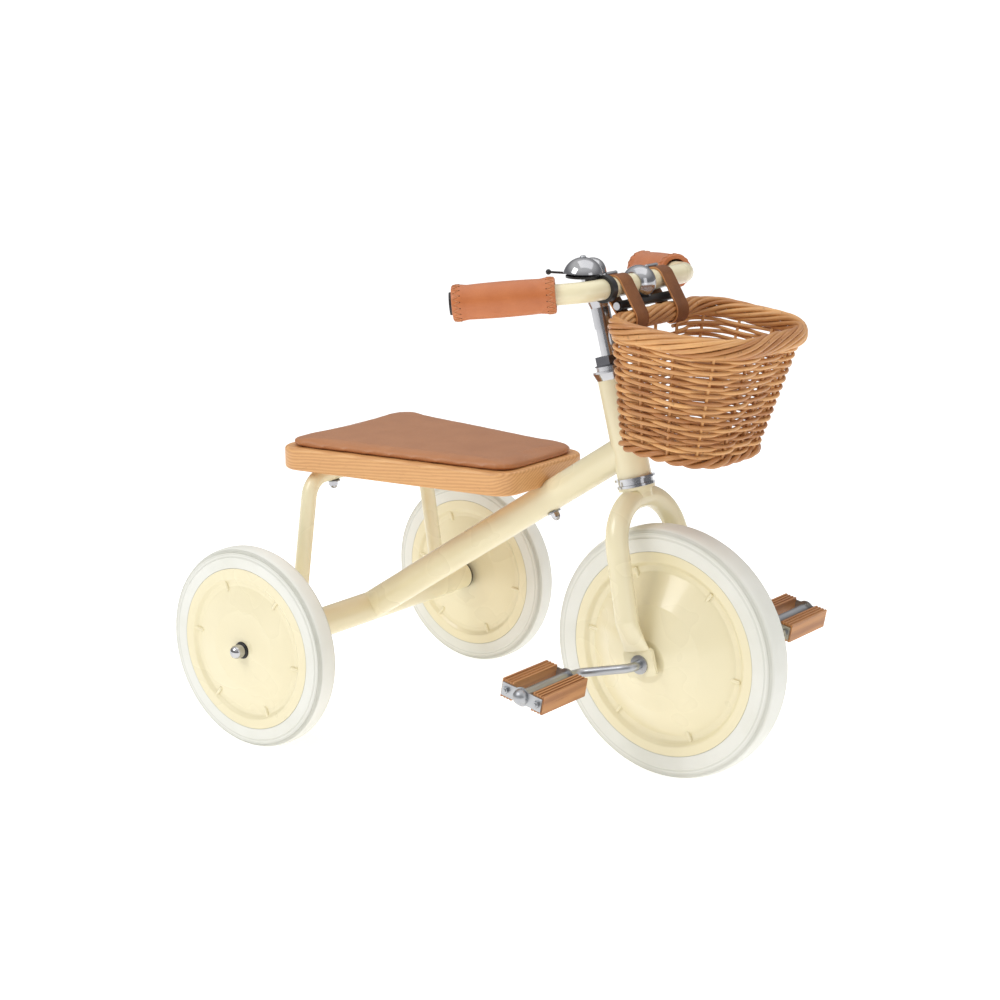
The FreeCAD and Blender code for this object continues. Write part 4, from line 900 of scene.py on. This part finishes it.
def lacing_row(side, far):
    """One thread zigzagging over a collar's edge, and the punched holes it runs through."""
    turns = 18
    points = []
    holes = []
    for number in range(turns * 2):
        angle = math.pi * number / turns
        for height in (0.0012, 0.0046) if number % 2 == 0 else (0.0082, 0.0046):
            lean = 0.0 if height != 0.0046 else math.pi / turns / 2
            radius = grip_radius(height) + 0.0002
            level = grip_length - height if far else height
            points.append((radius * math.cos(angle + lean), radius * math.sin(angle + lean), level))
        if number % 2:
            holes.append((angle, grip_length - lace_reach if far else lace_reach))
    thread = cane(points, 0.0005, True, 1, 0.5)
    thread.data.transform(bar_end_place(side))
    return thread, holes


# Painted shade: small dark discs at the lace holes stand in for the shade inside each punched hole.
def punched_holes(side, holes):
    deselect()
    bpy.ops.mesh.primitive_cylinder_add(vertices=10, radius=0.0007, depth=0.0008)
    hole = bpy.context.object
    bevel = hole.modifiers.new("soft", "BEVEL")
    bevel.width = 0.0002
    apply_modifiers(hole)
    copies = []
    for angle, level in holes:
        copy = hole.copy()
        copy.data = hole.data.copy()
        scene.collection.objects.link(copy)
        place = Matrix.Rotation(angle, 4, "Z")
        place = place @ Matrix.Translation((grip_radius(lace_reach) - 0.0002, 0, level))
        place = place @ Matrix.Rotation(math.radians(90), 4, "Y")
        copy.data.transform(bar_end_place(side) @ place)
        copies.append(copy)
    bpy.data.objects.remove(hole)
    return joined(copies, f"grip_lace_holes_{side}")


def grip_lacing(side):
    near, near_holes = lacing_row(side, False)
    far, far_holes = lacing_row(side, True)
    lacing = joined([near, far], f"grip_lacing_{side}")
    smooth(lacing, 50)
    return lacing, punched_holes(side, near_holes + far_holes)


for side in ("left", "right"):
    finish_piece(grip_sleeve(side), "steering", "grip_leather", grip_hide, f"grip_{side}")
    lacing, holes = grip_lacing(side)
    finish_piece(lacing, "steering", "grip_leather", waxed_thread)
    finish_piece(holes, "steering", "grip_leather", punched_hole)


# ---- Straps -------------------------------------------------------------------------------
def strap_band(name, place, width, path, thickness):
    """A flat leather band along a closed path in the upright plane, with softened edges."""
    deselect()
    count = len(path)
    bpy.ops.mesh.primitive_circle_add(vertices=count, radius=0.03, rotation=(math.radians(90), 0, 0))
    band = bpy.context.object
    bpy.ops.object.transform_apply(rotation=True)
    for vertex, (x, z) in zip(band.data.vertices, path):
        vertex.co = Vector((x, place - width / 2, z))
    bpy.ops.object.mode_set(mode="EDIT")
    bpy.ops.mesh.select_all(action="SELECT")
    bpy.ops.mesh.extrude_edges_move(TRANSFORM_OT_translate={"value": (0, width, 0)})
    bpy.ops.object.mode_set(mode="OBJECT")
    outward(band)
    solid = band.modifiers.new("thick", "SOLIDIFY")
    solid.thickness = thickness
    solid.offset = 1.0
    bevel = band.modifiers.new("worn", "BEVEL")
    bevel.width = 0.0005
    bevel.segments = 2
    bevel.limit_method = "ANGLE"
    apply_modifiers(band)
    band.name = name
    band.data.transform(Matrix.Translation(-band.location))
    band.location = (0, 0, 0)
    smooth(band, 40)
    return band


def belt_path(first, first_size, second, second_size):
    """A taut loop round two ovals: their hull."""
    points = []
    for centre, (wide, tall) in ((first, first_size), (second, second_size)):
        for number in range(90):
            angle = math.tau * number / 90
            points.append((centre.x + wide * math.cos(angle), centre.z + tall * math.sin(angle)))
    points.sort()

    def half(row):
        kept = []
        for point in row:
            while len(kept) > 1:
                (ax, az), (bx, bz) = kept[-2], kept[-1]
                if (bx - ax) * (point[1] - az) - (bz - az) * (point[0] - ax) > 0:
                    break
                kept.pop()
            kept.append(point)
        return kept[:-1]

    return half(points) + half(points[::-1])


rim_middle = rim_back + Vector((0, 0, -0.0035))
for side in ("left", "right"):
    low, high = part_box(f"strap_{side}")
    path = belt_path(bar_centre, (0.0112, 0.0112), rim_middle, (0.0082, 0.0115))
    band = strap_band(f"strap_band_{side}", (low.y + high.y) / 2, high.y - low.y, path, 0.0022)
    finish_piece(band, "steering", "strap_leather", strap_suede, f"strap_{side}")


# ---- Floor, light and camera --------------------------------------------------------------
def studio():
    deselect()
    bpy.ops.mesh.primitive_plane_add(size=1, location=(0, 0, -0.0002))
    floor = bpy.context.object
    floor.name = "floor"
    bpy.ops.object.mode_set(mode="EDIT")
    bpy.ops.mesh.subdivide(number_cuts=3)
    bpy.ops.object.mode_set(mode="OBJECT")
    floor.data.transform(Matrix.Diagonal((600, 600, 1, 1)))
    material, tree, shader, place = new_material("white_floor")
    shade = tree.noise(place, 0.6, 2.0)
    tint = tree.mix(shade, (0.93, 0.93, 0.93, 1), (0.95, 0.95, 0.95, 1))
    tree.links.new(tint, shader.inputs["Base Color"])
    shader.inputs["Roughness"].default_value = 0.9
    shader.inputs["Specular IOR Level"].default_value = 0.1
    shader.inputs["Emission Color"].default_value = (1, 1, 1, 1)
    shader.inputs["Emission Strength"].default_value = 0.48
    floor.data.materials.append(material)

    world = bpy.data.worlds.new("studio")
    world.use_nodes = True
    sky = Tree(world.node_tree)
    way = sky.add("ShaderNodeTexCoord").outputs["Generated"]
    height = sky.add("ShaderNodeSeparateXYZ", {"Vector": way}).outputs["Z"]
    glow = sky.mix(sky.span(height, 0.3, 0.75), (0.28, 0.28, 0.29, 1), (0.86, 0.86, 0.86, 1))
    sky.links.new(glow, world.node_tree.nodes["Background"].inputs["Color"])
    scene.world = world

    def softbox(name, place, aim, size, power):
        lamp = bpy.data.lights.new(name, "AREA")
        lamp.shape = "RECTANGLE"
        lamp.size, lamp.size_y = size
        lamp.energy = power
        obj = bpy.data.objects.new(name, lamp)
        obj.location = place
        obj.rotation_euler = (Vector(aim) - Vector(place)).to_track_quat("-Z", "Y").to_euler()
        scene.collection.objects.link(obj)

    softbox("key", (-0.7, -1.7, 2.0), (0, 0, 0.25), (1.1, 1.1), 19)
    softbox("top", (0.3, 0.3, 2.3), (0, 0, 0.2), (2.0, 2.0), 9)
    softbox("right_fill", (2.2, -0.4, 0.9), (0, 0, 0.3), (0.8, 1.6), 4)


def photo_angle():
    """The camera, set by azimuth, elevation and a slight roll."""
    azimuth, elevation, roll = (math.radians(v) for v in (37.914, 13.648, -0.3716))
    back = Vector((math.sin(azimuth) * math.cos(elevation), -math.cos(azimuth) * math.cos(elevation),
                   math.sin(elevation)))
    right = Vector((math.cos(azimuth), math.sin(azimuth), 0))
    up = back.cross(right)
    right, up = right * math.cos(roll) + up * math.sin(roll), up * math.cos(roll) - right * math.sin(roll)
    turn = Matrix((right, up, back)).transposed().to_4x4()
    camera = bpy.data.cameras.new("camera")
    camera.lens = 78.523
    camera.sensor_width = 36.0
    camera.clip_end = 1000
    obj = bpy.data.objects.new("camera", camera)
    obj.matrix_world = Matrix.Translation((1.470585, -1.926579, 0.873211)) @ turn
    scene.collection.objects.link(obj)
    scene.camera = obj


studio()
photo_angle()
deselect()
